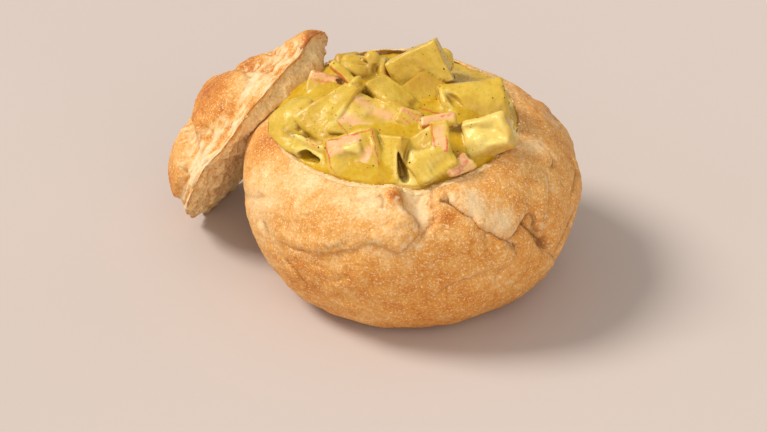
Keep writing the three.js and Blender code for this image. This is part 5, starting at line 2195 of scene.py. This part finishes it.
@dataclass
class Sprinkle:
    """Loose grains scattered over a surface by one node tree with named inputs."""

    name: str
    finish: GrainFinish
    slot: str
    per_square_cm: float
    size: float  # millimetres
    flat: float  # height of a grain as a share of its width
    seed: int

    INPUTS = (
        ("Surface", "Geometry"), ("Density", "Float"), ("Grain size", "Float"), ("Flatness", "Float"),
        ("Seed", "Int"),
    )
    SMALLEST, LARGEST = (0.45, 0.45, 0.6), (1.35, 0.9, 1.0)  # sides of grains, as shares of the size

    def _tree(self, material: Material) -> Tree:
        """Builds the node tree.

        Args:
            material: Finish of the grains.

        Returns:
            A geometry node tree that turns a surface into the grains on it.
        """
        tree = bpy.data.node_groups.new(self.name + "_scatter", "GeometryNodeTree")
        for title, kind in self.INPUTS:
            tree.interface.new_socket(title, in_out="INPUT", socket_type="NodeSocket" + kind)
        tree.interface.new_socket("Grains", in_out="OUTPUT", socket_type="NodeSocketGeometry")
        given = tree.nodes.new("NodeGroupInput").outputs
        spots = add_node(tree, "GeometryNodeDistributePointsOnFaces", Mesh=given["Surface"],
                         Density=given["Density"], Seed=given["Seed"])
        grain = add_node(tree, "GeometryNodeMeshIcoSphere", Radius=0.5, Subdivisions=1)
        sides = tree.nodes.new("FunctionNodeRandomValue")
        sides.data_type = "FLOAT_VECTOR"
        sides.inputs["Min"].default_value = self.SMALLEST
        sides.inputs["Max"].default_value = self.LARGEST
        feed(tree, sides.inputs["Seed"], given["Seed"])
        flat = add_node(tree, "ShaderNodeCombineXYZ", X=1, Y=1, Z=given["Flatness"])
        flattened = tree.nodes.new("ShaderNodeVectorMath")
        flattened.operation = "MULTIPLY"
        feed(tree, flattened.inputs[0], sides.outputs[0])
        feed(tree, flattened.inputs[1], flat.outputs[0])
        grown = tree.nodes.new("ShaderNodeVectorMath")
        grown.operation = "SCALE"
        feed(tree, grown.inputs[0], flattened.outputs[0])
        feed(tree, grown.inputs["Scale"], given["Grain size"])
        angle = tree.nodes.new("FunctionNodeRandomValue")
        angle.data_type = "FLOAT"
        angle.inputs[3].default_value = 2 * math.pi
        feed(tree, angle.inputs["Seed"], given["Seed"])
        about = add_node(tree, "FunctionNodeAxisAngleToRotation", Axis=(0, 0, 1), Angle=angle.outputs[1])
        spin = tree.nodes.new("FunctionNodeRotateRotation")
        spin.rotation_space = "LOCAL"
        feed(tree, spin.inputs[0], spots.outputs["Rotation"])
        feed(tree, spin.inputs[1], about.outputs[0])
        placed = add_node(tree, "GeometryNodeInstanceOnPoints", Points=spots.outputs["Points"],
                          Instance=grain.outputs["Mesh"], Rotation=spin.outputs[0],
                          Scale=grown.outputs[0])
        real = add_node(tree, "GeometryNodeRealizeInstances", Geometry=placed.outputs[0])
        dressed = add_node(tree, "GeometryNodeSetMaterial", Geometry=real.outputs[0], Material=material)
        feed(tree, tree.nodes.new("NodeGroupOutput").inputs[0], dressed.outputs[0])
        return tree

    def build(self, surface: Skin) -> Piece:
        """Scatters the grains over a surface and keeps only the grains.

        Args:
            surface: What they lie on.

        Returns:
            One object with all the grains.
        """
        material = self.finish.material()
        ground = surface.to_object(self.name + "_ground", material)
        tree = self._tree(material)
        modifier = ground.modifiers.new("scatter", "NODES")
        modifier.node_group = tree
        inputs = {"Density": self.per_square_cm * 1e4, "Grain size": self.size * MM,
                  "Flatness": self.flat, "Seed": self.seed}
        for item in tree.interface.items_tree:
            if item.name in inputs:
                modifier[item.identifier] = inputs[item.name]
        evaluated = ground.evaluated_get(bpy.context.evaluated_depsgraph_get())
        mesh = bpy.data.meshes.new_from_object(evaluated)
        mesh.name = self.name
        piece = bpy.data.objects.new(self.name, mesh)
        bpy.context.scene.collection.objects.link(piece)
        bpy.data.objects.remove(ground, do_unlink=True)
        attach(piece, "root")
        log.info("%s: %d triangles", self.name, len(mesh.polygons))
        return piece


# ---- studio ----


@dataclass(frozen=True)
class Studio:
    """Plain pale floor, soft light and the camera."""

    target: tuple[float, float, float] = (-13.77, 11.61, 22.0)
    distance: float = 1180.0
    elevation: float = 32.03
    roll: float = -0.7308
    lens: float = 106.86
    floor_size: float = 4.0

    def camera(self) -> None:
        """Places the camera at the picture's viewing angle."""
        lift = math.radians(self.elevation)
        forward = Vector((0, math.cos(lift), -math.sin(lift)))
        data = bpy.data.cameras.new("camera")
        data.lens = self.lens
        data.sensor_width = 36
        data.clip_start = 0.05
        data.dof.use_dof = False
        camera = bpy.data.objects.new("camera", data)
        place = Vector(self.target) * MM - forward * self.distance * MM
        level = Matrix.Rotation(math.pi / 2 - lift, 4, "X")
        tilt = Matrix.Rotation(math.radians(self.roll), 4, "Z")
        camera.matrix_world = Matrix.Translation(place) @ level @ tilt
        bpy.context.scene.collection.objects.link(camera)
        bpy.context.scene.camera = camera

    def light(self, name: str, source: tuple, softness: float, power: float, warmth: tuple) -> None:
        """Adds even light from one side.

        Args:
            name: The light's name.
            source: Direction that it comes from.
            softness: Width of the light in the sky, in degrees.
            power: Strength.
            warmth: Colour.
        """
        data = bpy.data.lights.new(name, "SUN")
        data.angle = math.radians(softness)
        data.energy = power
        data.color = warmth
        light = bpy.data.objects.new(name, data)
        light.location = source
        light.rotation_euler = (-Vector(source)).to_track_quat("-Z", "Y").to_euler()
        bpy.context.scene.collection.objects.link(light)

    def build(self) -> None:
        """Makes the floor, the lights and the camera."""
        scene = bpy.context.scene
        scene.view_settings.view_transform = "Standard"
        scene.view_settings.look = "None"
        self.camera()
        self.light("key", (-0.66, 0.06, 0.76), 22.0, 2.65, (1.0, 0.97, 0.92))
        self.light("fill", (0.25, -1.0, 0.45), 70.0, 1.15, (1.0, 0.97, 0.93))
        world = bpy.data.worlds.new("studio")
        world.use_nodes = True
        sky = world.node_tree.nodes["Background"].inputs
        sky["Color"].default_value = (1.0, 0.965, 0.93, 1)
        sky["Strength"].default_value = 0.46
        scene.world = world
        half = self.floor_size / 2
        corners = [(-half, -half, 0), (half, -half, 0), (half, half, 0), (-half, half, 0)]
        mesh = bpy.data.meshes.new("floor")
        mesh.from_pydata(corners, [], [(0, 1, 2, 3)])
        mesh.materials.append(FloorFinish().material())
        floor = bpy.data.objects.new("floor", mesh)
        scene.collection.objects.link(floor)


def main() -> None:
    """Builds the studio and every piece."""
    logging.basicConfig(level=logging.INFO, format="%(message)s")
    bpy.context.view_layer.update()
    Studio().build()
    log.info("studio ready")
    bowl = BreadBowl()
    bowl.build()
    BreadCap().build()
    heap = CurryHeap()
    heap.build()
    curry, rim = heap.open_surface(), bowl.cut_edge()
    pepper = GrainFinish("black_pepper", tint(34, 26, 16), tint(74, 54, 26))
    spice = GrainFinish("brown_spice", tint(120, 84, 20), tint(164, 118, 30))
    crumbs = GrainFinish("bread_crumbs", tint(236, 190, 120), tint(255, 234, 190))
    Sprinkle("pepper_grains", pepper, "curry", 0.4, size=0.95, flat=0.6, seed=3).build(curry)
    Sprinkle("spice_grains", spice, "curry", 2.4, size=0.55, flat=0.5, seed=8).build(curry)
    Sprinkle("rim_crumbs", crumbs, "crumb", 9.0, size=1.5, flat=0.6, seed=4).build(rim)


if __name__ == "__main__":
    main()
